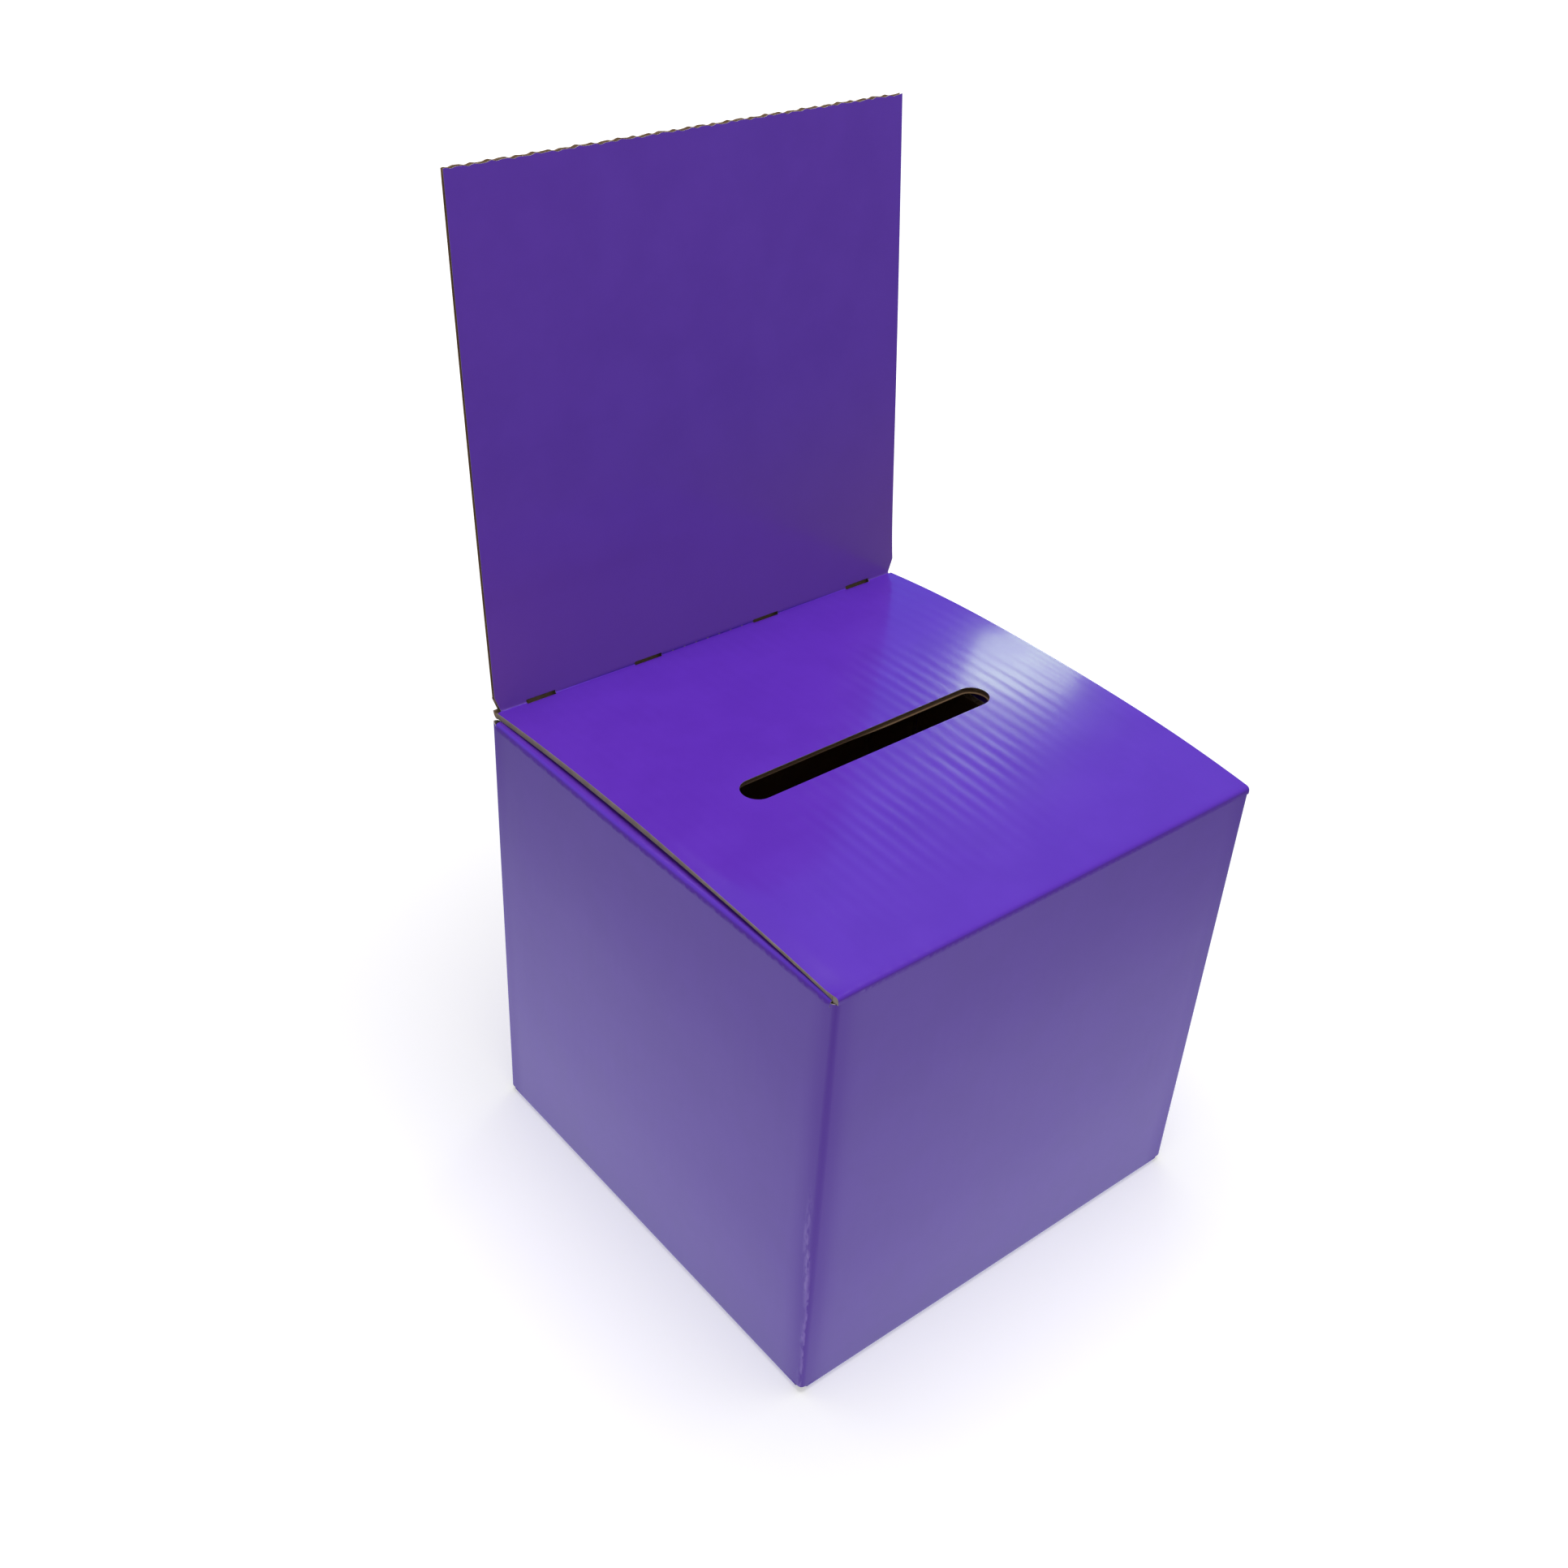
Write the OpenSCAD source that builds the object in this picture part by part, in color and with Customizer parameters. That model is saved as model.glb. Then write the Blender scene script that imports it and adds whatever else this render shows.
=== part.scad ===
// Ballot box of single wall corrugated board, with a slotted lid and a tall header.
// Millimetres: +X runs right along the front, +Y to the back, +Z up.
// The origin is the middle of the base, on the surface that the box stands on.
// Each board is three pieces: a printed sheet, a fluted sheet and a plain kraft sheet.

/* [Box] */
// Width of the box, over the boards
box_w = 216; // [200:1:260]
// Depth of the box, over the boards
box_d = 214; // [200:1:260]
// Height of the box to the top of the lid
box_h = 209; // [150:1:300]

/* [Board] */
// Thickness of the corrugated board
board_t = 3; // [2.5:0.1:3.4]
// Thickness of each flat sheet of the board
liner_t = 0.3; // [0.25:0.05:0.5]
// Thickness of the fluted sheet, measured upright
medium_t = 0.3; // [0.25:0.05:0.5]
// Distance from one flute to the next
flute_pitch = 6.3; // [5:0.1:8]

/* [Lid] */
// Distance from each raw side edge of the lid to the outside of the box
lid_inset = 1; // [0.5:0.1:3]
// Gap between the closed lid and the ledge flaps under it
lid_gap = 0.3; // [0.2:0.05:0.6]
// Length of the ballot slot, end to end
slot_l = 128; // [60:1:134]
// Width of the ballot slot
slot_w = 14; // [6:0.5:20]

/* [Header] */
// Height of the header above its fold
header_h = 214; // [60:1:260]
// Lean of the header, back from upright, in degrees
header_lean = 5.4; // [0:0.1:10]
// Width of the small cut at each lower corner of the header
header_relief_w = 3; // [1:0.5:6]
// Height of the small cut at each lower corner of the header
header_relief_h = 7; // [2:0.5:12]

/* [Tear line] */
// Length of each slit in the fold between lid and header
slit_l = 14; // [6:1:24]
// Reach of each slit into the lid and into the header
slit_reach = 1.7; // [0.8:0.1:3]
// Distance of the two inner slits from the middle
slit_inner = 32; // [20:1:40]
// Distance of the two outer slits from the middle
slit_outer = 86; // [60:1:88]

/* [Ledge flaps] */
// Depth of the ledge flap of the back wall
back_ledge_d = 30; // [15:1:40]
// Clearance between the slot's ends and the side ledge flaps
slot_margin = 3; // [1:0.5:8]
// Clearance at the cut ends of the ledge flaps
ledge_gap = 2; // [1:0.5:4]

/* [Bottom] */
// Width of the locking tongue of the front bottom flap
tongue_w = 100; // [60:1:110]
// Length of the tongue that lies on the back bottom flap
tongue_grip = 30; // [15:1:40]
// Distance of the tongue's fold behind the middle of the base
tongue_start = 8; // [4:1:14]
// Slope of the tongue where it climbs through, in degrees
tongue_slope = 18; // [16:1:30]
// Slope of the folded-in flaps beside their wall, in degrees
flap_slope = 14; // [12:1:24]
// Reach of the front flap's shoulders behind the middle of the base
shoulder_reach = 25; // [10:1:35]
// Reach of the back flap's arms in front of the middle of the base
arm_reach = 5; // [0:1:20]
// Clearance between neighbouring cut edges of the bottom flaps
flap_gap = 1; // [0.5:0.1:2]

/* [Glued joint] */
// Width of the glue flap inside the right wall
glue_flap_w = 28; // [20:1:32]
// Distance of the glue flap's ends from the ends of the wall
glue_flap_inset = 16; // [14:1:30]
// Thickness of the dried glue
glue_t = 0.1; // [0.05:0.01:0.2]
// Margin of the glue inside the flap's edges
glue_margin = 3; // [1:0.5:6]

/* [Hidden] */

// Flat steps in one rounded fold, and facets in one slot end
fold_steps = 6;
slot_fn = 48;
// Overshoot of a cut past the face that it goes through
past = 1;

// Outer half sizes, and half sizes of the space inside the four walls
half_w = box_w / 2;
half_d = box_d / 2;
in_w = half_w - board_t;
in_d = half_d - board_t;

// Depths in a board, from its printed face
kraft_top = board_t - liner_t;
print_back = liner_t;

// Heights: top of the ledge flaps, of the side and back walls, and of the front wall
ledge_z = box_h - board_t - lid_gap;
wall_top = ledge_z - board_t;
front_top = box_h - board_t;
wall_foot = board_t;

// The four sides, as the turn from the front and the distance from the middle
front_turn = 0;
right_turn = 90;
back_turn = 180;
left_turn = 270;

// Middle of the rounded fold that turns the back wall into the glue flap
glue_face = board_t + glue_t;
glue_fold_x = half_w - glue_face - board_t;
glue_flap_low = wall_foot + glue_flap_inset;
glue_flap_high = wall_top - glue_flap_inset;

// Heights of the bottom flaps, in layers from the outside
side_level = board_t;
back_level = 2 * board_t;
tongue_level = 3 * board_t;
// Half length of the lower folds, which stop short of the upright corners
fold_short = 1;
// Half length lost at a corner where two ledge folds would meet when pushed in
ledge_short = board_t + 1;

// Shares of one flute that lie flat against the liners
crest_share = 0.22;

// Points of a round fold about (x, y), from one angle to another
function fold(x, y, r, a0, a1) = [
    for (i = [0 : fold_steps])
        let (a = a0 + (a1 - a0) * i / fold_steps)
        [x + r * cos(a), y + r * sin(a)]
];

// A corner of a path at depth d on its left, where its heading goes from a0 to a1
function corner(p, a0, a1, d) =
    let (m = (a0 + a1) / 2, s = d / cos((a1 - a0) / 2))
    [p[0] - s * sin(m), p[1] + s * cos(m)];

function reversed(list) = [for (i = [len(list) - 1 : -1 : 0]) list[i]];

// Wavy line of the fluted sheet between x0 and x1, with troughs at lo and crests at hi
function wave(x0, x1, lo, hi) =
    let (
        n = floor((x1 - x0) / flute_pitch),
        start = (x0 + x1) / 2 - n * flute_pitch / 2,
        c = flute_pitch * crest_share
    )
    concat(
        [[x0, lo], [start + c / 2, lo]],
        [for (i = [0 : n - 1], k = [0 : 3])
            let (
                mid = start + (i + (k < 2 ? 0.5 : 1)) * flute_pitch,
                side = (k % 2 == 0) ? -1 : 1
            )
            if (!(i == n - 1 && k == 3)) [mid + side * c / 2, k < 2 ? hi : lo]],
        [[x1, lo]]
    );

// Moves from the front wall's frame (right, inwards, up) to the wall at this turn
module at_wall(turn, distance) {
    rotate(turn) translate([0, -distance, 0]) children();
}

// Closed band between the line at one depth and the line at another
module band(outer, inner) {
    polygon(concat(outer, reversed(inner)));
}

// Lays a side view (inwards, up) along a wall, from x0 to x1
module along(x0, x1) {
    translate([x0, 0, 0]) rotate([90, 0, 90]) linear_extrude(x1 - x0) children();
}

// Upright fluted sheet from x0 to x1, its printed side towards the front
module upright_flutes(x0, x1, length) {
    linear_extrude(length) band(
        wave(x0, x1, print_back, kraft_top - medium_t),
        wave(x0, x1, print_back + medium_t, kraft_top)
    );
}

// Fluted sheet that lies flat and runs inwards, printed side down
module flutes_face_down(x0, x1, length) {
    translate([0, length, 0]) rotate([90, 0, 0]) upright_flutes(x0, x1, length);
}

// Fluted sheet that lies flat and runs inwards, printed side up
module flutes_face_up(x0, x1, length) {
    rotate([-90, 0, 0]) upright_flutes(x0, x1, length);
}

// Upright kraft sheet from x0 to x1 and from z0 to z1
module upright_kraft(x0, x1, z0, z1) {
    translate([x0, kraft_top, z0]) cube([x1 - x0, liner_t, z1 - z0]);
}

// Plan of a wall's printed sheet at depth d, with half of each rounded corner
function folded_both(x0, x1, d) = concat(
    fold(x0, board_t, board_t - d, 225, 270),
    fold(x1, board_t, board_t - d, 270, 315)
);

// The same with a raw cut at its right end
function folded_left(x0, x1, d) = concat(fold(x0, board_t, board_t - d, 225, 270), [[x1, d]]);

module wall_print(line_0, line_1, z1) {
    translate([0, 0, wall_foot]) linear_extrude(z1 - wall_foot) band(line_0, line_1);
}

// Front wall
module front_wall_print() {
    color([0.43, 0.34, 0.64]) at_wall(front_turn, half_d)
        wall_print(folded_both(-in_w, in_w, 0), folded_both(-in_w, in_w, print_back), front_top);
}

module front_wall_flutes() {
    color([0.62, 0.47, 0.31]) at_wall(front_turn, half_d)
        translate([0, 0, wall_foot]) upright_flutes(-in_w, in_w, front_top - wall_foot);
}

module front_wall_kraft() {
    color([0.68, 0.53, 0.36]) at_wall(front_turn, half_d)
        upright_kraft(-in_w, in_w, wall_foot, front_top);
}

// Right wall: its rear edge is a raw cut over the glued joint
module right_wall_print() {
    color([0.43, 0.34, 0.64]) at_wall(right_turn, half_w)
        wall_print(folded_left(-in_d, half_d, 0), folded_left(-in_d, half_d, print_back), wall_top);
}

module right_wall_flutes() {
    color([0.62, 0.47, 0.31]) at_wall(right_turn, half_w)
        translate([0, 0, wall_foot]) upright_flutes(-in_d, half_d, wall_top - wall_foot);
}

module right_wall_kraft() {
    color([0.68, 0.53, 0.36]) at_wall(right_turn, half_w)
        upright_kraft(-in_d, half_d, wall_foot, wall_top);
}

// Back wall: it folds into the glue flap at its left, as seen from behind
module back_wall_print() {
    color([0.43, 0.34, 0.64]) at_wall(back_turn, half_d) wall_print(
        folded_both(-glue_fold_x, in_w, 0),
        folded_both(-glue_fold_x, in_w, print_back),
        wall_top
    );
}

module back_wall_flutes() {
    color([0.62, 0.47, 0.31]) at_wall(back_turn, half_d)
        translate([0, 0, wall_foot]) upright_flutes(-glue_fold_x, in_w, wall_top - wall_foot);
}

module back_wall_kraft() {
    color([0.68, 0.53, 0.36]) at_wall(back_turn, half_d)
        upright_kraft(-glue_fold_x, in_w, wall_foot, wall_top);
}

// Left wall
module left_wall_print() {
    color([0.43, 0.34, 0.64]) at_wall(left_turn, half_w)
        wall_print(folded_both(-in_d, in_d, 0), folded_both(-in_d, in_d, print_back), wall_top);
}

module left_wall_flutes() {
    color([0.62, 0.47, 0.31]) at_wall(left_turn, half_w)
        translate([0, 0, wall_foot]) upright_flutes(-in_d, in_d, wall_top - wall_foot);
}

module left_wall_kraft() {
    color([0.68, 0.53, 0.36]) at_wall(left_turn, half_w)
        upright_kraft(-in_d, in_d, wall_foot, wall_top);
}

// Glue flap: the back wall's end, folded forwards behind the right wall
function glue_line_at(d) = concat(
    [[in_d - glue_flap_w, glue_face + d]],
    fold(in_d, glue_face + board_t, board_t - d, 270, 315)
);

module at_glue_flap() {
    at_wall(right_turn, half_w) translate([0, 0, glue_flap_low]) children();
}

module glue_flap_print() {
    color([0.43, 0.34, 0.64]) at_glue_flap()
        linear_extrude(glue_flap_high - glue_flap_low)
            band(glue_line_at(0), glue_line_at(print_back));
}

module glue_flap_flutes() {
    color([0.62, 0.47, 0.31]) at_glue_flap() translate([0, glue_face, 0])
        upright_flutes(in_d - glue_flap_w, in_d, glue_flap_high - glue_flap_low);
}

module glue_flap_kraft() {
    color([0.68, 0.53, 0.36]) at_glue_flap() translate([0, glue_face, 0])
        upright_kraft(in_d - glue_flap_w, in_d, 0, glue_flap_high - glue_flap_low);
}

module glue_line() {
    color([0.85, 0.82, 0.7]) at_glue_flap()
        translate([in_d - glue_flap_w + glue_margin, board_t, glue_margin])
            cube([
                glue_flap_w - 2 * glue_margin,
                glue_t,
                glue_flap_high - glue_flap_low - 2 * glue_margin
            ]);
}

// Side view of a bottom flap that climbs to a level beside its wall, then lies flat
function climb_end(level, slope) =
    let (u = board_t * (1 + sin(slope)), z = board_t * (1 - cos(slope)))
    u + (level - z) / tan(slope);

function climb_start(slope, d) =
    [board_t + (board_t - d) * sin(slope), board_t - (board_t - d) * cos(slope)];

function climb_line(level, slope, reach, d) = [
    climb_start(slope, d),
    corner([climb_end(level, slope), level], slope, 0, d),
    [reach, level + d]
];

function lower_fold(slope, d) = fold(board_t, board_t, board_t - d, 180, 270 + slope);

module lower_fold_print(x0, x1, slope) {
    along(x0, x1) band(lower_fold(slope, 0), lower_fold(slope, print_back));
}

module climbing_print(level, slope, reach, x0, x1) {
    along(x0, x1) band(climb_line(level, slope, reach, 0), climb_line(level, slope, reach, print_back));
}

module climbing_kraft(level, slope, reach, x0, x1) {
    along(x0, x1)
        band(climb_line(level, slope, reach, kraft_top), climb_line(level, slope, reach, board_t));
}

// The flutes stop a little short of each fold, where the board is crushed
module climbing_flutes(level, slope, reach, x0, x1) {
    start = climb_start(slope, 0);
    end_u = climb_end(level, slope);
    run = (end_u - start[0]) / cos(slope);
    translate([0, start[0], start[1]]) rotate([slope, 0, 0])
        translate([0, board_t / 4, 0]) flutes_face_down(x0, x1, run - board_t / 2);
    translate([0, end_u, level]) flutes_face_down(x0, x1, reach - end_u);
}

// Sizes of the bottom flaps, all measured from the wall that each hangs on
side_flap_reach = half_w - tongue_w / 2 - 6 * flap_gap;
side_climb = climb_end(side_level, flap_slope);
back_climb = climb_end(back_level, flap_slope);
front_flap_half = half_w - side_climb - flap_gap / 2;
tongue_rise = tongue_level / tan(tongue_slope);
tongue_fold = half_d + tongue_start;
tongue_top = tongue_fold + tongue_rise;
tongue_tip = tongue_top + tongue_grip;
recess_reach = box_d - tongue_top - flap_gap / 2;
arms_tip = half_d + arm_reach;
shoulders_tip = half_d + shoulder_reach;
back_flap_half = in_w - 5 * flap_gap;
recess_half = tongue_w / 2 + flap_gap;
side_flap_front = -in_d + flap_gap;
side_flap_back = half_d - back_climb - flap_gap / 2;

// Front bottom flap: folded last, lowest, with the tongue that locks the base
module tongue_notch() {
    translate([-recess_half, tongue_fold, -past])
        cube([2 * recess_half, box_d, board_t + 2 * past]);
}

function tongue_line(d) = [
    corner([tongue_fold, 0], 0, tongue_slope, d),
    corner([tongue_top, tongue_level], tongue_slope, 0, d),
    [tongue_tip, tongue_level + d]
];

module front_flap_sheet(low, high) {
    along(-tongue_w / 2, tongue_w / 2) band(tongue_line(low), tongue_line(high));
    along(-tongue_w / 2, tongue_w / 2) band(
        [[board_t, low], corner([tongue_fold, 0], 0, tongue_slope, low)],
        [[board_t, high], corner([tongue_fold, 0], 0, tongue_slope, high)]
    );
    difference() {
        translate([-front_flap_half, board_t, low])
            cube([2 * front_flap_half, shoulders_tip - board_t, high - low]);
        tongue_notch();
        translate([-tongue_w / 2, 0, -past])
            cube([tongue_w, shoulders_tip, board_t + 2 * past]);
    }
}

module bottom_front_print() {
    color([0.43, 0.34, 0.64]) at_wall(front_turn, half_d) union() {
        lower_fold_print(-in_w + fold_short, in_w - fold_short, 0);
        front_flap_sheet(0, print_back);
    }
}

module bottom_front_kraft() {
    color([0.68, 0.53, 0.36]) at_wall(front_turn, half_d) front_flap_sheet(kraft_top, board_t);
}

module bottom_front_flutes() {
    half = tongue_w / 2;
    color([0.62, 0.47, 0.31]) at_wall(front_turn, half_d) {
        difference() {
            translate([0, board_t, 0])
                flutes_face_down(-front_flap_half, front_flap_half, shoulders_tip - board_t);
            translate([0, -board_t / 4, 0]) tongue_notch();
        }
        translate([0, tongue_fold, 0]) rotate([tongue_slope, 0, 0])
            translate([0, board_t / 4, 0])
                flutes_face_down(-half, half, tongue_rise / cos(tongue_slope) - board_t / 2);
        translate([0, tongue_top, tongue_level])
            flutes_face_down(-half, half, tongue_grip);
    }
}

// Back bottom flap: folded first, highest, with a recess that takes the tongue
module back_flap_recess() {
    translate([-recess_half, recess_reach, 0])
        cube([2 * recess_half, box_d, tongue_level + past]);
}

module bottom_back_print() {
    color([0.43, 0.34, 0.64]) at_wall(back_turn, half_d) union() {
        lower_fold_print(-in_w + fold_short, in_w - fold_short, flap_slope);
        difference() {
            climbing_print(back_level, flap_slope, arms_tip, -back_flap_half, back_flap_half);
            back_flap_recess();
        }
    }
}

module bottom_back_kraft() {
    color([0.68, 0.53, 0.36]) at_wall(back_turn, half_d) difference() {
        climbing_kraft(back_level, flap_slope, arms_tip, -back_flap_half, back_flap_half);
        back_flap_recess();
    }
}

module bottom_back_flutes() {
    color([0.62, 0.47, 0.31]) at_wall(back_turn, half_d) difference() {
        climbing_flutes(back_level, flap_slope, arms_tip, -back_flap_half, back_flap_half);
        back_flap_recess();
    }
}

// Side bottom flaps: folded second, between the other two. Each is drawn on the right wall
module side_flap_print() {
    at_wall(right_turn, half_w) union() {
        lower_fold_print(-in_d + fold_short, in_d - fold_short, flap_slope);
        climbing_print(side_level, flap_slope, side_flap_reach, side_flap_front, side_flap_back);
    }
}

module side_flap_kraft() {
    at_wall(right_turn, half_w)
        climbing_kraft(side_level, flap_slope, side_flap_reach, side_flap_front, side_flap_back);
}

module side_flap_flutes() {
    at_wall(right_turn, half_w)
        climbing_flutes(side_level, flap_slope, side_flap_reach, side_flap_front, side_flap_back);
}

module bottom_right_print() { color([0.43, 0.34, 0.64]) side_flap_print(); }
module bottom_right_flutes() { color([0.62, 0.47, 0.31]) side_flap_flutes(); }
module bottom_right_kraft() { color([0.68, 0.53, 0.36]) side_flap_kraft(); }
module bottom_left_print() { color([0.43, 0.34, 0.64]) mirror([1, 0, 0]) side_flap_print(); }
module bottom_left_flutes() { color([0.62, 0.47, 0.31]) mirror([1, 0, 0]) side_flap_flutes(); }
module bottom_left_kraft() { color([0.68, 0.53, 0.36]) mirror([1, 0, 0]) side_flap_kraft(); }

// Ledge flaps: short flaps at the top of three walls, folded in to carry the lid
side_ledge_d = half_w - slot_l / 2 - slot_margin;
side_ledge_front = -in_d + ledge_gap;
side_ledge_back = in_d - max(back_ledge_d, glue_flap_w) - ledge_gap;
back_ledge_half = in_w - board_t - ledge_gap;
back_ledge_reach = board_t + back_ledge_d;

function ledge_fold(d) = fold(board_t, wall_top, board_t - d, 180, 90);

module ledge_print(reach, x0, x1, fold_x0, fold_x1) {
    along(fold_x0, fold_x1) band(ledge_fold(0), ledge_fold(print_back));
    translate([x0, board_t, ledge_z - print_back]) cube([x1 - x0, reach - board_t, liner_t]);
}

module ledge_flutes(reach, x0, x1) {
    translate([0, board_t, ledge_z]) flutes_face_up(x0, x1, reach - board_t);
}

module ledge_kraft(reach, x0, x1) {
    translate([x0, board_t, wall_top]) cube([x1 - x0, reach - board_t, liner_t]);
}

// Each side ledge is drawn on the right wall
module side_ledge_print() {
    at_wall(right_turn, half_w) ledge_print(
        side_ledge_d,
        side_ledge_front,
        side_ledge_back,
        -in_d + fold_short,
        in_d - ledge_short
    );
}

module side_ledge_flutes() {
    at_wall(right_turn, half_w) ledge_flutes(side_ledge_d, side_ledge_front, side_ledge_back);
}

module side_ledge_kraft() {
    at_wall(right_turn, half_w) ledge_kraft(side_ledge_d, side_ledge_front, side_ledge_back);
}

module right_ledge_print() { color([0.40, 0.25, 0.78]) side_ledge_print(); }
module right_ledge_flutes() { color([0.62, 0.47, 0.31]) side_ledge_flutes(); }
module right_ledge_kraft() { color([0.68, 0.53, 0.36]) side_ledge_kraft(); }
module left_ledge_print() { color([0.40, 0.25, 0.78]) mirror([1, 0, 0]) side_ledge_print(); }
module left_ledge_flutes() { color([0.62, 0.47, 0.31]) mirror([1, 0, 0]) side_ledge_flutes(); }
module left_ledge_kraft() { color([0.68, 0.53, 0.36]) mirror([1, 0, 0]) side_ledge_kraft(); }

module back_ledge_print() {
    fold_half = in_w - ledge_short;
    color([0.40, 0.25, 0.78]) at_wall(back_turn, half_d)
        ledge_print(back_ledge_reach, -back_ledge_half, back_ledge_half, -fold_half, fold_half);
}

module back_ledge_flutes() {
    color([0.62, 0.47, 0.31]) at_wall(back_turn, half_d)
        ledge_flutes(back_ledge_reach, -back_ledge_half, back_ledge_half);
}

module back_ledge_kraft() {
    color([0.68, 0.53, 0.36]) at_wall(back_turn, half_d)
        ledge_kraft(back_ledge_reach, -back_ledge_half, back_ledge_half);
}

// Lid: the front wall's board folded back over the box, with the ballot slot
lid_half = half_w - lid_inset;
slit_places = [-slit_outer, -slit_inner, slit_inner, slit_outer];

module slot_cut() {
    straight = slot_l - slot_w;
    deep = board_t + 2 * past;
    translate([0, 0, front_top - past]) {
        translate([-straight / 2, -slot_w / 2, 0]) cube([straight, slot_w, deep]);
        for (side = [-1, 1])
            translate([side * straight / 2, 0, 0]) cylinder(h = deep, d = slot_w, $fn = slot_fn);
    }
}

// Slits of the tear line, cut from the printed side down to the kraft sheet
module lid_slits() {
    for (x = slit_places)
        translate([x - slit_l / 2, half_d - slit_reach, front_top])
            cube([slit_l, slit_reach + past, board_t + past]);
}

function lid_line(d) = concat(fold(board_t, front_top, board_t - d, 180, 90), [[box_d, box_h - d]]);

module lid_print() {
    color([0.42, 0.24, 0.78]) difference() {
        at_wall(front_turn, half_d) along(-lid_half, lid_half)
            band(lid_line(0), lid_line(print_back));
        slot_cut();
        lid_slits();
    }
}

module lid_flutes() {
    color([0.62, 0.47, 0.31]) difference() {
        at_wall(front_turn, half_d) translate([0, board_t, box_h])
            flutes_face_up(-lid_half, lid_half, box_d - board_t);
        slot_cut();
        lid_slits();
    }
}

module lid_kraft() {
    color([0.68, 0.53, 0.36]) difference() {
        at_wall(front_turn, half_d) translate([-lid_half, board_t, front_top])
            cube([2 * lid_half, box_d - board_t, liner_t]);
        slot_cut();
    }
}

// Header: one board that folds up from the lid's rear edge and leans back a little
header_base_half = half_w - header_relief_w;

module at_header() {
    translate([0, half_d, box_h]) rotate([-header_lean, 0, 0]) children();
}

module header_slits() {
    for (x = slit_places)
        translate([x - slit_l / 2, -past, -past])
            cube([slit_l, board_t + 2 * past, slit_reach + past]);
}

module header_corner_cuts() {
    for (side = [-1, 1])
        translate([side * half_w, -past, 0]) rotate([90, 0, 0]) mirror([0, 0, 1])
            linear_extrude(board_t + 2 * past) polygon([
                [-side * header_relief_w, -past],
                [-side * header_relief_w, 0],
                [0, header_relief_h],
                [side * past, header_relief_h],
                [side * past, -past]
            ]);
}

module header_print() {
    color([0.32, 0.20, 0.56]) at_header() difference() {
        translate([-half_w, 0, 0]) cube([box_w, liner_t, header_h]);
        header_slits();
        header_corner_cuts();
    }
}

module header_flutes() {
    color([0.62, 0.47, 0.31]) at_header() difference() {
        upright_flutes(-half_w, half_w, header_h);
        header_slits();
        header_corner_cuts();
    }
}

module header_kraft() {
    color([0.68, 0.53, 0.36]) at_header() difference() {
        upright_kraft(-half_w, half_w, 0, header_h);
        header_corner_cuts();
    }
}

// Kraft sheet stretched round the outside of the header's fold: the hinge itself
module header_fold_kraft() {
    color([0.60, 0.46, 0.30]) translate([0, half_d, box_h])
        along(-header_base_half, header_base_half) band(
            fold(0, 0, board_t, -90, -header_lean),
            fold(0, 0, kraft_top, -90, -header_lean)
        );
}

front_wall_print();
front_wall_flutes();
front_wall_kraft();
right_wall_print();
right_wall_flutes();
right_wall_kraft();
back_wall_print();
back_wall_flutes();
back_wall_kraft();
left_wall_print();
left_wall_flutes();
left_wall_kraft();
glue_flap_print();
glue_flap_flutes();
glue_flap_kraft();
glue_line();
bottom_front_print();
bottom_front_flutes();
bottom_front_kraft();
bottom_back_print();
bottom_back_flutes();
bottom_back_kraft();
bottom_left_print();
bottom_left_flutes();
bottom_left_kraft();
bottom_right_print();
bottom_right_flutes();
bottom_right_kraft();
left_ledge_print();
left_ledge_flutes();
left_ledge_kraft();
right_ledge_print();
right_ledge_flutes();
right_ledge_kraft();
back_ledge_print();
back_ledge_flutes();
back_ledge_kraft();
lid_print();
lid_flutes();
lid_kraft();
header_print();
header_flutes();
header_kraft();
header_fold_kraft();
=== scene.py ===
import bpy
import math
import numpy as np
from mathutils import Matrix, Vector
from mathutils.geometry import delaunay_2d_cdt


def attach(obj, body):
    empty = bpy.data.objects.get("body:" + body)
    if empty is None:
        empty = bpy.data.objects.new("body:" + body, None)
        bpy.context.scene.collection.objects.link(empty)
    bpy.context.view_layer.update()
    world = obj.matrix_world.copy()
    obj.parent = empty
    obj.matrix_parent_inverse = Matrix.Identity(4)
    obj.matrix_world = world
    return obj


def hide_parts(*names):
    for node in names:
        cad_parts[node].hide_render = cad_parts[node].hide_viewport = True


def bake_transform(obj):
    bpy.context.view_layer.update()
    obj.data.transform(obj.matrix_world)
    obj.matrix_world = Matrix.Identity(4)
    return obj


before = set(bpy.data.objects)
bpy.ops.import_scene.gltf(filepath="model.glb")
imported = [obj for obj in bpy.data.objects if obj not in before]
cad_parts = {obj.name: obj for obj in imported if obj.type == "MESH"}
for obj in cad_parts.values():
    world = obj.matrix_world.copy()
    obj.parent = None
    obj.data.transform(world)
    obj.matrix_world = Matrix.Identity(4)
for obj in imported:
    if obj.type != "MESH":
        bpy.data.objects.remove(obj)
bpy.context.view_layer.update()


# Studio: a pale table that runs out of view, an even soft room, and one window-like
# soft box behind the right rear corner. Its reflection is the bright patch on the lid.
CAMERA_PLACE = Vector((-0.43266, -0.44329, 0.62122))
CAMERA_RIGHT = Vector((0.77449, -0.63036, 0.05314))
CAMERA_UP = Vector((0.32772, 0.47165, 0.81865))
CAMERA_BACK = Vector((-0.54109, -0.61660, 0.57186))
LENS_MM = 42.48
PATCH_ON_LID = Vector((0.0928, 0.0097, 0.2115))
TOWARDS_WINDOW = Vector((0.651, 0.560, 0.512))
WINDOW_AWAY, WINDOW_SIZE = 0.95, (0.12, 0.09)
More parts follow.
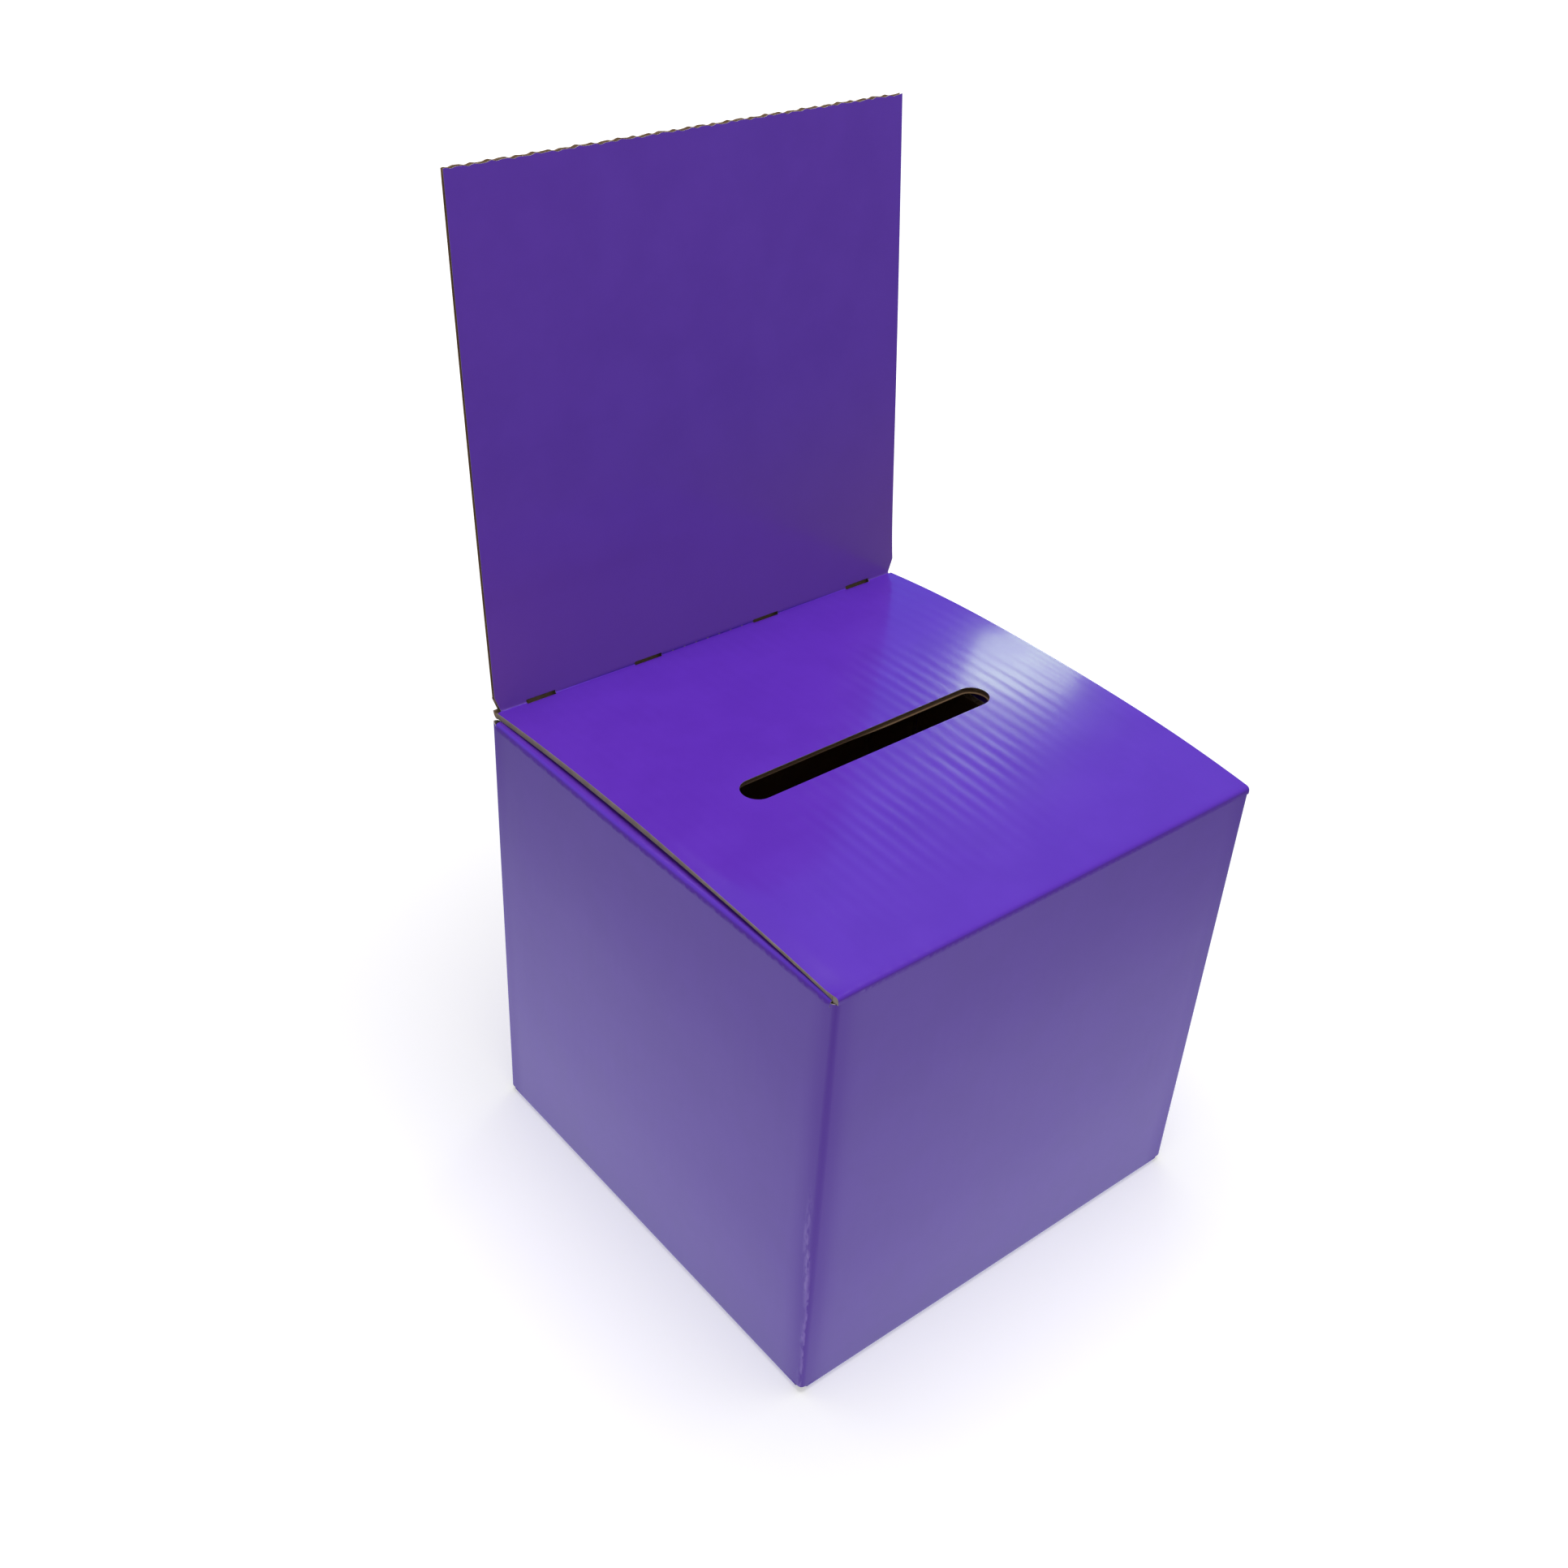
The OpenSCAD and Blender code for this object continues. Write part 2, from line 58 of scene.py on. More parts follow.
WINDOW_POWER, WINDOW_TINT = 0.25, (0.77, 1.0, 0.48)
CEILING_PLACE, CEILING_TARGET = (0.0, -0.04, 1.4), (0, -0.04, 0.1)
CEILING_SIZE, CEILING_POWER, CEILING_TINT = (0.7, 0.7), 9.6, (1.0, 0.98, 0.98)
ROOM_COLOUR, ROOM_STRENGTH = (0.97, 0.97, 1.0), 0.32
ROOM_IN_GLOSS, ROOM_IN_GLOSS_STRENGTH = (0.14, 0.24, 0.95), 0.88
BACKDROP, BACKDROP_STRENGTH = (1.0, 1.0, 1.0), 1.0

scene = bpy.context.scene
scene.view_settings.view_transform = "Standard"

lens = bpy.data.cameras.new("studio_camera")
lens.lens = LENS_MM
lens.sensor_width = 36.0
camera = bpy.data.objects.new("studio_camera", lens)
scene.collection.objects.link(camera)
camera.matrix_world = Matrix((
    (CAMERA_RIGHT.x, CAMERA_UP.x, CAMERA_BACK.x, CAMERA_PLACE.x),
    (CAMERA_RIGHT.y, CAMERA_UP.y, CAMERA_BACK.y, CAMERA_PLACE.y),
    (CAMERA_RIGHT.z, CAMERA_UP.z, CAMERA_BACK.z, CAMERA_PLACE.z),
    (0.0, 0.0, 0.0, 1.0),
))
scene.camera = camera

room = bpy.data.worlds.new("soft_room")
scene.world = room
room.use_nodes = True
room_nodes, room_links = room.node_tree.nodes, room.node_tree.links
room_nodes.clear()
room_out = room_nodes.new("ShaderNodeOutputWorld")
room_path = room_nodes.new("ShaderNodeLightPath")


def room_glow(colour, strength):
    glow = room_nodes.new("ShaderNodeBackground")
    glow.inputs["Color"].default_value = (*colour, 1.0)
    glow.inputs["Strength"].default_value = strength
    return glow.outputs["Background"]


def room_mix(ray, first, second):
    pick = room_nodes.new("ShaderNodeMixShader")
    room_links.new(room_path.outputs[ray], pick.inputs["Fac"])
    room_links.new(first, pick.inputs[1])
    room_links.new(second, pick.inputs[2])
    return pick.outputs["Shader"]


room_walls = room_mix(
    "Is Glossy Ray",
    room_glow(ROOM_COLOUR, ROOM_STRENGTH),
    room_glow(ROOM_IN_GLOSS, ROOM_IN_GLOSS_STRENGTH),
)
room_seen = room_mix("Is Camera Ray", room_walls, room_glow(BACKDROP, BACKDROP_STRENGTH))
room_links.new(room_seen, room_out.inputs["Surface"])


def soft_box(name, place, target, size, power, tint):
    lamp = bpy.data.lights.new(name, "AREA")
    lamp.shape = "RECTANGLE"
    lamp.size, lamp.size_y = size
    lamp.energy = power
    lamp.color = tint
    box = bpy.data.objects.new(name, lamp)
    scene.collection.objects.link(box)
    box.location = place
    box.rotation_euler = (Vector(target) - Vector(place)).to_track_quat("-Z", "Y").to_euler()
    box.visible_camera = False


soft_box(
    "window_soft_box",
    PATCH_ON_LID + WINDOW_AWAY * TOWARDS_WINDOW,
    PATCH_ON_LID,
    WINDOW_SIZE,
    WINDOW_POWER,
    WINDOW_TINT,
)
soft_box(
    "ceiling_soft_box", CEILING_PLACE, CEILING_TARGET, CEILING_SIZE, CEILING_POWER, CEILING_TINT
)

# The table's last three values are each a near and a far distance from the middle of the
# box, and how strong the effect is at both.
TABLE_HALF, TABLE_TOP = 9, -0.0004
TABLE_PAINT, TABLE_IN_GLOSS = (0.86, 0.86, 0.87, 1.0), (0.71, 0.71, 1.0, 1.0)
DARK_UNDER_BOX = (0.085, 0.105, 0.0, 1.0)
GLOW_OUTWARDS = (0.15, 1.1, 0.45, 0.95)
GLOSS_OUTWARDS = (0.08, 0.66, 0.95, 0.19)

table_mesh = bpy.data.meshes.new("pale_table")
table_corners = ((-1, -1), (1, -1), (1, 1), (-1, 1))
table_mesh.from_pydata(
    [(x * TABLE_HALF, y * TABLE_HALF, TABLE_TOP) for x, y in table_corners], [], [(0, 1, 2, 3)]
)
table = bpy.data.objects.new("pale_table", table_mesh)
scene.collection.objects.link(table)


def math_node(tree, operation, first, second=None, third=None):
    node = tree.nodes.new("ShaderNodeMath")
    node.operation = operation
    for i, value in enumerate((first, second, third)):
        if value is None:
            continue
        if isinstance(value, (int, float)):
            node.inputs[i].default_value = value
        else:
            tree.links.new(value, node.inputs[i])
    return node.outputs[0]


def ramp_node(tree, value, low, high, to_low=0.0, to_high=1.0):
    node = tree.nodes.new("ShaderNodeMapRange")
    node.interpolation_type = "SMOOTHSTEP"
    node.inputs["From Min"].default_value = low
    node.inputs["From Max"].default_value = high
    node.inputs["To Min"].default_value = to_low
    node.inputs["To Max"].default_value = to_high
    tree.links.new(value, node.inputs["Value"])
    return node.outputs["Result"]


table_paint = bpy.data.materials.new("pale_table_paint")
table_paint.use_nodes = True
paint = table_paint.node_tree
paint.nodes.clear()
paint_out = paint.nodes.new("ShaderNodeOutputMaterial")
paint_matt = paint.nodes.new("ShaderNodeBsdfDiffuse")
paint_matt.inputs["Color"].default_value = TABLE_PAINT
paint_glow = paint.nodes.new("ShaderNodeEmission")
paint_gloss = paint.nodes.new("ShaderNodeEmission")
paint_gloss.inputs["Color"].default_value = TABLE_IN_GLOSS
paint_path = paint.nodes.new("ShaderNodeLightPath")
paint_place = paint.nodes.new("ShaderNodeTexCoord")
paint_away = paint.nodes.new("ShaderNodeVectorMath")
paint_away.operation = "LENGTH"
paint.links.new(paint_place.outputs["Object"], paint_away.inputs[0])
clear_of_box, glow, gloss = [
    ramp_node(paint, paint_away.outputs["Value"], *values)
    for values in (DARK_UNDER_BOX, GLOW_OUTWARDS, GLOSS_OUTWARDS)
]
seen = math_node(paint, "MULTIPLY", paint_path.outputs["Is Camera Ray"], clear_of_box)
paint.links.new(math_node(paint, "MULTIPLY", seen, glow), paint_glow.inputs["Strength"])
paint.links.new(gloss, paint_gloss.inputs["Strength"])
paint_sum = paint.nodes.new("ShaderNodeAddShader")
paint.links.new(paint_matt.outputs[0], paint_sum.inputs[0])
paint.links.new(paint_glow.outputs[0], paint_sum.inputs[1])
paint_pick = paint.nodes.new("ShaderNodeMixShader")
paint.links.new(paint_path.outputs["Is Glossy Ray"], paint_pick.inputs["Fac"])
paint.links.new(paint_sum.outputs[0], paint_pick.inputs[1])
paint.links.new(paint_gloss.outputs[0], paint_pick.inputs[2])
paint.links.new(paint_pick.outputs[0], paint_out.inputs["Surface"])
table_mesh.materials.append(table_paint)


# Paper finishes of the board: brown kraft sheets, and the greyer fibres of its cut and
# crushed edges. All are long wood fibres pressed flat, so they are dull and mottled.
FIBRE_STRETCH, CLOUD_SCALE, SPECK_SCALE = (900, 900, 160), 130.0, 1400.0
CLOUD_RANGE, STREAK_RANGE, SPECK_RANGE = (0.2, 0.8), (0.30, 0.75), (0.66, 0.74)
STREAK_SHARE, SPECK_SHARE = 0.35, 0.6
PAPER_RELIEF, PAPER_SHINE = 0.00006, 0.25


def effect_group(name, inputs, outputs):
    tree = bpy.data.node_groups.new(name, "ShaderNodeTree")
    for socket, kind, value in inputs:
        made = tree.interface.new_socket(name=socket, in_out="INPUT", socket_type=kind)
        if value is not None:
            made.default_value = value
    for socket, kind in outputs:
        tree.interface.new_socket(name=socket, in_out="OUTPUT", socket_type=kind)
    return tree, tree.nodes.new("NodeGroupInput"), tree.nodes.new("NodeGroupOutput")


def noise_node(tree, vector, scale, detail=4.0, rough=0.55):
    node = tree.nodes.new("ShaderNodeTexNoise")
    node.inputs["Scale"].default_value = scale
    node.inputs["Detail"].default_value = detail
    node.inputs["Roughness"].default_value = rough
    tree.links.new(vector, node.inputs["Vector"])
    return node.outputs["Fac"]


def mix_colour(tree, share, first, second):
    node = tree.nodes.new("ShaderNodeMix")
    node.data_type = "RGBA"
    tree.links.new(share, node.inputs["Factor"])
    for socket, value in ((6, first), (7, second)):
        if isinstance(value, tuple):
            node.inputs[socket].default_value = (*value, 1.0)
        else:
            tree.links.new(value, node.inputs[socket])
    return node.outputs[2]


def stretched(tree, vector, scale):
    node = tree.nodes.new("ShaderNodeMapping")
    node.inputs["Scale"].default_value = scale
    tree.links.new(vector, node.inputs["Vector"])
    return node.outputs["Vector"]


# Wood fibres: fine streaks along the sheet, a cloudy formation, and a few dark specks.
fibres, fibres_in, fibres_out = effect_group(
    "paper_fibres",
    (("Place", "NodeSocketVector", None),),
    (("Streaks", "NodeSocketFloat"), ("Cloud", "NodeSocketFloat"), ("Specks", "NodeSocketFloat")),
)
fibre_place = fibres_in.outputs["Place"]
fibre_streaks = noise_node(fibres, stretched(fibres, fibre_place, FIBRE_STRETCH), 1.0, 5.0)
fibre_cloud = noise_node(fibres, fibre_place, CLOUD_SCALE, 3.0, 0.5)
fibre_specks = noise_node(fibres, fibre_place, SPECK_SCALE, 2.0)
fibres.links.new(fibre_streaks, fibres_out.inputs["Streaks"])
fibres.links.new(fibre_cloud, fibres_out.inputs["Cloud"])
fibres.links.new(ramp_node(fibres, fibre_specks, *SPECK_RANGE), fibres_out.inputs["Specks"])


def new_finish(name, relief):
    """A material whose shader has a bump of the given height in metres."""
    finish = bpy.data.materials.new(name)
    finish.use_nodes = True
    tree = finish.node_tree
    shader = tree.nodes["Principled BSDF"]
    bump = tree.nodes.new("ShaderNodeBump")
    bump.inputs["Strength"].default_value = 1.0
    bump.inputs["Distance"].default_value = relief
    tree.links.new(bump.outputs["Normal"], shader.inputs["Normal"])
    return finish, tree, shader, bump


def paper_finish(name, pale, dark, speck, roughness):
    finish, tree, shader, bump = new_finish(name, PAPER_RELIEF)
    shader.inputs["Roughness"].default_value = roughness
    shader.inputs["Specular IOR Level"].default_value = PAPER_SHINE
    place = tree.nodes.new("ShaderNodeTexCoord").outputs["Object"]
    paper = tree.nodes.new("ShaderNodeGroup")
    paper.node_tree = fibres
    tree.links.new(place, paper.inputs["Place"])
    cloudy = ramp_node(tree, paper.outputs["Cloud"], *CLOUD_RANGE)
    streaky = ramp_node(tree, paper.outputs["Streaks"], *STREAK_RANGE, 0.0, STREAK_SHARE)
    speckled = math_node(tree, "MULTIPLY", paper.outputs["Specks"], SPECK_SHARE)
    body = mix_colour(tree, cloudy, dark, pale)
    colour = mix_colour(tree, speckled, mix_colour(tree, streaky, body, dark), speck)
    tree.links.new(colour, shader.inputs["Base Color"])
    tree.links.new(paper.outputs["Streaks"], bump.inputs["Height"])
    return finish


kraft_liner = paper_finish(
    "kraft_liner_paper",
    pale=(0.38, 0.245, 0.132),
    dark=(0.32, 0.20, 0.106),
    speck=(0.12, 0.07, 0.035),
    roughness=0.86,
)
kraft_flute = paper_finish(
    "fluted_kraft_paper",
    pale=(0.40, 0.29, 0.19),
    dark=(0.30, 0.21, 0.13),
    speck=(0.10, 0.07, 0.04),
    roughness=0.92,
)
crushed_edge = paper_finish(
    "crushed_board_edge",
    pale=(0.40, 0.33, 0.27),
    dark=(0.29, 0.235, 0.185),
    speck=(0.14, 0.10, 0.07),
    roughness=0.95,
)
cut_edge = paper_finish(
    "cut_board_edge",
    pale=(0.52, 0.46, 0.40),
    dark=(0.38, 0.33, 0.28),
    speck=(0.16, 0.12, 0.09),
    roughness=0.95,
)


# Purple print: ink and a clear gloss coat on the outer liner. The flutes show through it
# as a faint washboard, and the folds rub the coat thin and crumple it. Painted light: beside
# the folds the ink is painted darker as painted shade, the header is painted greyer as a
# painted reflection haze, most near its fold, and a wavy line beside the left front crease
# is painted lighter as a painted highlight.
MM = 0.001
FLUTE_PITCH = 6.3 * MM
WOBBLE_SCALE, WANDER = 22.0, 0.0026
PATCH_SCALE, PATCH_RANGE, WEAKEST_PATCH = 34.0, (0.3, 0.7), 0.3
# The last is how many reaches from a fold the thinned coat and the painted shade fade out.
CRUMPLE_STRETCH, BROKEN_RANGE, RUB_AND_PAINTED_LIGHT_FADE = (500, 500, 170), (0.36, 0.58), 1.2

washboard, washboard_in, washboard_out = effect_group(
    "flute_washboard",
    (
        ("Across", "NodeSocketFloat", 0.0),
        ("Place", "NodeSocketVector", None),
        ("Pitch", "NodeSocketFloat", FLUTE_PITCH),
        ("Show", "NodeSocketFloat", 1.0),
    ),
    (("Height", "NodeSocketFloat"),),
)
wobble = noise_node(washboard, washboard_in.outputs["Place"], WOBBLE_SCALE, 2.0)
wander = math_node(washboard, "MULTIPLY", math_node(washboard, "SUBTRACT", wobble, 0.5), WANDER)
across = math_node(washboard, "ADD", washboard_in.outputs["Across"], wander)
turns = math_node(washboard, "DIVIDE", across, washboard_in.outputs["Pitch"])
wave = math_node(washboard, "COSINE", math_node(washboard, "MULTIPLY", turns, 2 * math.pi))
patches = noise_node(washboard, washboard_in.outputs["Place"], PATCH_SCALE, 0.5)
patchy = ramp_node(washboard, patches, *PATCH_RANGE, WEAKEST_PATCH, 1.0)
half_wave = math_node(washboard, "MULTIPLY", wave, 0.5)
height = math_node(washboard, "MULTIPLY_ADD", half_wave, patchy, 0.5)
shown = math_node(washboard, "MULTIPLY", height, washboard_in.outputs["Show"])
washboard.links.new(shown, washboard_out.inputs["Height"])

# Crease marks: near a fold the first mask thins the gloss coat and mixes in a painted shade
# colour; the second is a painted highlight along a broken line beside a worn crease; the third is
# a real crumpled bump there.
creasing, creasing_in, creasing_out = effect_group(
    "crease_wear_and_painted_light",
    (
        ("Distance", "NodeSocketFloat", 1.0),
        ("WearAndHighlight", "NodeSocketFloat", 0.0),
        ("Place", "NodeSocketVector", None),
        ("Reach", "NodeSocketFloat", 0.006),
    ),
    (("RubAndPaintedLight", "NodeSocketFloat"), ("PaintedHighlight", "NodeSocketFloat"), ("Crumple", "NodeSocketFloat")),
)
crease_away = math_node(
    creasing, "DIVIDE", creasing_in.outputs["Distance"], creasing_in.outputs["Reach"]
)
crumple_place = stretched(creasing, creasing_in.outputs["Place"], CRUMPLE_STRETCH)
crumple = noise_node(creasing, crumple_place, 1.0, 2.0)
broken = ramp_node(creasing, crumple, *BROKEN_RANGE)
for effect, value in (
    ("RubAndPaintedLight", ramp_node(creasing, crease_away, 0.0, RUB_AND_PAINTED_LIGHT_FADE, 1.0, 0.0)),
    ("PaintedHighlight", math_node(creasing, "MULTIPLY", creasing_in.outputs["WearAndHighlight"], broken)),
    ("Crumple", math_node(creasing, "MULTIPLY", creasing_in.outputs["WearAndHighlight"], crumple)),
):
    creasing.links.new(value, creasing_out.inputs[effect])

PURPLE = (0.146, 0.034, 0.565)
PURPLE_DEEP = (0.137, 0.031, 0.535)
# Painted shade: the print's colour in a band beside its folds.
PURPLE_PAINTED_SHADE = (0.135, 0.028, 0.53)
# Painted highlight: the lighter colour of a wavy line beside the left front crease.
INK_PAINTED_HIGHLIGHT = (0.36, 0.22, 0.80)
# Painted haze: the header's colours are a greyer copy of the lid's purple, a whitish reflection
# painted into them; near the fold they go greyer still, a painted reflection.
HEADER_PURPLE_PAINTED_HAZE = (0.155, 0.048, 0.53)
HEADER_PURPLE_DEEP_PAINTED_HAZE = (0.145, 0.044, 0.505)
HEADER_PAINTED_REFLECTION = (0.208, 0.084, 0.405)
INK_SHINE, INK_CLOUD_SCALE, INK_CLOUD_RANGE = 0.7, 45.0, (0.3, 0.7)
COAT_ROUGHNESS, RUBBED_COAT = 0.10, 0.08
# Shares of the painted shade beside folds and of the painted highlight line.
FOLD_PAINTED_LIGHT_SHARE, PAINTED_HIGHLIGHT_SHARE = 0.8, 0.9
FLUTE_RELIEF, CRUMPLE_RELIEF = 0.00005, 0.00035
# A smear that crossed a roughness of 0.27 would show its border in a denoised render.
SMEAR_SCALE, SMEAR_RANGE, SMEAR_ROUGHNESS = 22.0, (0.35, 0.75), (0.20, 0.262)


def print_finish(
    name,
    show,
    across_axis=None,
    ink_and_painted_haze=(PURPLE, PURPLE_DEEP),
    fold_painted_ink=PURPLE_PAINTED_SHADE,
    reach=0.003,
    coat=0.5,
):
    """Printed liner. With no axis, the mesh's board attribute says where flutes and folds are.
    Beside folds it is painted darker, painted shade, and along a crumpled line lighter, a
    painted highlight.
    """
    finish, tree, shader, bump = new_finish(name, FLUTE_RELIEF)
    shader.inputs["Specular IOR Level"].default_value = INK_SHINE
    shader.inputs["Coat Roughness"].default_value = COAT_ROUGHNESS
    place = tree.nodes.new("ShaderNodeTexCoord").outputs["Object"]
    ripples = tree.nodes.new("ShaderNodeGroup")
    ripples.node_tree = washboard
    ripples.inputs["Show"].default_value = show
    tree.links.new(place, ripples.inputs["Place"])
    wear_and_painted_light = tree.nodes.new("ShaderNodeGroup")
    wear_and_painted_light.node_tree = creasing
    wear_and_painted_light.inputs["Reach"].default_value = reach
    tree.links.new(place, wear_and_painted_light.inputs["Place"])
    if across_axis is None:
        board = tree.nodes.new("ShaderNodeAttribute")
        board.attribute_name = "board"
        split = tree.nodes.new("ShaderNodeSeparateXYZ")
        tree.links.new(board.outputs["Vector"], split.inputs[0])
        tree.links.new(split.outputs["X"], ripples.inputs["Across"])
        tree.links.new(split.outputs["Y"], wear_and_painted_light.inputs["Distance"])
        tree.links.new(split.outputs["Z"], wear_and_painted_light.inputs["WearAndHighlight"])
    else:
        split = tree.nodes.new("ShaderNodeSeparateXYZ")
        tree.links.new(place, split.inputs[0])
        tree.links.new(split.outputs[across_axis], ripples.inputs["Across"])
    cloud = ramp_node(tree, noise_node(tree, place, INK_CLOUD_SCALE, 4.0), *INK_CLOUD_RANGE)
    # Beside folds the colour is mixed towards a painted shade (a painted reflection on the
    # header), and along a broken line beside a worn crease towards a painted highlight.
    fold_painted_light = math_node(tree, "MULTIPLY", wear_and_painted_light.outputs["RubAndPaintedLight"], FOLD_PAINTED_LIGHT_SHARE)
    painted_highlight = math_node(tree, "MULTIPLY", wear_and_painted_light.outputs["PaintedHighlight"], PAINTED_HIGHLIGHT_SHARE)
    fold_painted_colour = mix_colour(tree, fold_painted_light, mix_colour(tree, cloud, ink_and_painted_haze[1], ink_and_painted_haze[0]), fold_painted_ink)
    tree.links.new(mix_colour(tree, painted_highlight, fold_painted_colour, INK_PAINTED_HIGHLIGHT), shader.inputs["Base Color"])
    smear = noise_node(tree, place, SMEAR_SCALE, 5.0)
    tree.links.new(
        ramp_node(tree, smear, *SMEAR_RANGE, *SMEAR_ROUGHNESS), shader.inputs["Roughness"]
    )
    gloss = math_node(tree, "MULTIPLY_ADD", wear_and_painted_light.outputs["RubAndPaintedLight"], RUBBED_COAT - coat, coat)
    tree.links.new(gloss, shader.inputs["Coat Weight"])
    folds = tree.nodes.new("ShaderNodeBump")
    folds.inputs["Distance"].default_value = CRUMPLE_RELIEF
    tree.links.new(wear_and_painted_light.outputs["Crumple"], folds.inputs["Height"])
    tree.links.new(ripples.outputs["Height"], bump.inputs["Height"])
    tree.links.new(bump.outputs["Normal"], folds.inputs["Normal"])
    tree.links.new(folds.outputs["Normal"], shader.inputs["Normal"])
    return finish


# The lid's and the panels' painted shade spans about 4 mm and 13 mm beside their folds.
purple_lid = print_finish("purple_gloss_lid", 1.5, coat=0.4)
# The header's greyer colours are painted haze, and over its lowest 120 mm they are mixed towards a
# painted reflection colour.
purple_header = print_finish(
    "purple_gloss_header",
    0.3,
    ink_and_painted_haze=(HEADER_PURPLE_PAINTED_HAZE, HEADER_PURPLE_DEEP_PAINTED_HAZE),
    fold_painted_ink=HEADER_PAINTED_REFLECTION,
    reach=0.10,
)
purple_panel = print_finish("purple_gloss_panel", 0.3, reach=0.011)
purple_base_x = print_finish("purple_gloss_base_across_x", 0.5, "X")
purple_base_y = print_finish("purple_gloss_base_across_y", 0.5, "Y")


# Lid: the front wall's board, folded back over the box. It is one die-cut sheet that
# bows up a little between its two folds, with a stadium-shaped slot for the ballots.
# From here on, lengths are in mm until solid_sheet makes a mesh of them.
BOX_W, BOX_D, BOX_H = 216.0, 214.0, 209.0
HALF_W, HALF_D = BOX_W / 2, BOX_D / 2
BOARD, LINER, MEDIUM = 3.0, 0.3, 0.3
FOLD_R = BOARD
LID_HALF = HALF_W - 1.0
LID_BACK = 102.0
SLOT_L, SLOT_W = 128.0, 14.0
SLOT_STRAIGHT = (SLOT_L - SLOT_W) / 2
ARC = math.pi / 2 * FOLD_R
BOW_LEFT, BOW_MORE_RIGHT = 3.7, 1.9
PINCH, PINCH_FROM, PINCH_FADE, PINCH_WIDE = 1.3, 15, 70, 5
PUSH_FRONT, PUSH_LESS_BACK, PUSH_LEFT = 1.8, 0.8, 2.0
CRUSH_WIDE = 2.5


def crown(x, y):
    """How far the closed lid bows up at a point, in mm."""
    along = np.clip((y + HALF_D) / BOX_D, 0, 1)
    side = np.clip((x + HALF_W) / BOX_W, 0, 1)
    return (BOW_LEFT + BOW_MORE_RIGHT * side) * bow(along)


def pinched(x, y):
    """How far fingers have pressed the lid's left raw edge down near the front, in mm."""
    along = smooth((PINCH_FROM - y) / PINCH_FADE) * smooth((y + HALF_D) / 6)
    return PINCH * along * np.exp(-(((x + LID_HALF) / PINCH_WIDE) ** 2))


def bow(along):
    """A full, slightly flat-topped bow from 0 to 1 and back to 0."""
    arc = np.sin(np.pi * np.clip(along, 0, 1))
    return arc * (1.5 - 0.5 * arc)


def smooth(t):
    """An even change from 0 to 1 with soft ends."""
    t = np.clip(t, 0, 1)
    return t * t * (3 - 2 * t)


def pushed_out(x, y, z, left=0.0):
    """Where x goes in the hand-folded carton, whose top stands a little outwards. The left
    side moves by the share of its push that left gives, most at the back."""
    height = np.clip(z / BOX_H, 0, 1) ** 1.2 * np.exp(-np.maximum(z - BOX_H - 6, 0) / 12)
    to_right = np.clip(x / HALF_W, 0, 1.1)
    to_left = np.clip(-x / HALF_W, 0, 1.1)
    right = (PUSH_FRONT - PUSH_LESS_BACK * (y + HALF_D) / BOX_D) * to_right
    return x + height * (right - PUSH_LEFT * left * smooth((y + HALF_D) / 150) * to_left)


def creased(angle, press=0.72):
    """Cosine and sine of a fold, a little squarer than a round one, as a pressed score is."""
    return np.abs(np.cos(angle)) ** press, np.abs(np.sin(angle)) ** press


def crushed(x, half, share):
    """How much of the board's thickness is left near its die-cut side edges."""
    return 1 - share * np.exp(-(((half - np.abs(x)) / CRUSH_WIDE) ** 2))


def solid_sheet(name, outer, inner, faces, board=None):
    """A thin closed sheet from two matching point lists. Its front takes the first finish,
    and its back and rim the second. The board marks are the same for both lists."""
    outer, inner = np.asarray(outer, float), np.asarray(inner, float)
    count = len(outer)
    edges = {}
    for face in faces:
        for a, b in zip(face, face[1:] + face[:1]):
            if (b, a) in edges:
                del edges[(b, a)]
            else:
                edges[(a, b)] = True
    all_faces = [tuple(face) for face in faces]
    all_faces += [tuple(i + count for i in reversed(face)) for face in faces]
    all_faces += [(b, a, a + count, b + count) for a, b in edges]
    mesh = bpy.data.meshes.new(name)
    mesh.from_pydata((np.vstack([outer, inner]) * MM).tolist(), [], all_faces)
    finish_numbers = np.zeros(len(all_faces), int)
    finish_numbers[len(faces):] = 1
    mesh.polygons.foreach_set("material_index", finish_numbers)
    is_smooth = np.zeros(len(all_faces), bool)
    is_smooth[: 2 * len(faces)] = True
    mesh.polygons.foreach_set("use_smooth", is_smooth)
    rims = set()
    for a, b in edges:
        rims.add((min(a, b), max(a, b)))
        rims.add((min(a, b) + count, max(a, b) + count))
    for edge in mesh.edges:
        if tuple(sorted(edge.vertices)) in rims:
            edge.use_edge_sharp = True
    if board is not None:
        layer = mesh.attributes.new("board", "FLOAT_VECTOR", "POINT")
        layer.data.foreach_set("vector", np.vstack([board, board]).astype(np.float32).ravel())
    mesh.validate()
    piece = bpy.data.objects.new(name, mesh)
    scene.collection.objects.link(piece)
    return piece


def board_marks(across, crease_away, wear_and_painted_light=0.0):
    """What the print reads at each point: its place across the flutes and its distance from
    a fold, both made metres here, and how strongly it is crumpled and painted lighter as a
    painted highlight. Near a fold the print is painted darker, as painted shade."""
    return np.stack(np.broadcast_arrays(across * MM, crease_away * MM, wear_and_painted_light), 1)


def grid_faces(columns, rows, start=0):
    """Faces of a grid whose points run row by row up each column."""
    return [
        [a, a + rows, a + rows + 1, a + 1]
        for first in range(start, start + (columns - 1) * rows, rows)
        for a in range(first, first + rows - 1)
    ]


def grid_points(columns, rows):
    """Every column with every row, in the order that grid_faces takes."""
    return [part.ravel() for part in np.meshgrid(columns, rows, indexing="ij")]


def finish_piece(piece, slot_name, *finishes):
    for finish in finishes:
        piece.data.materials.append(finish)


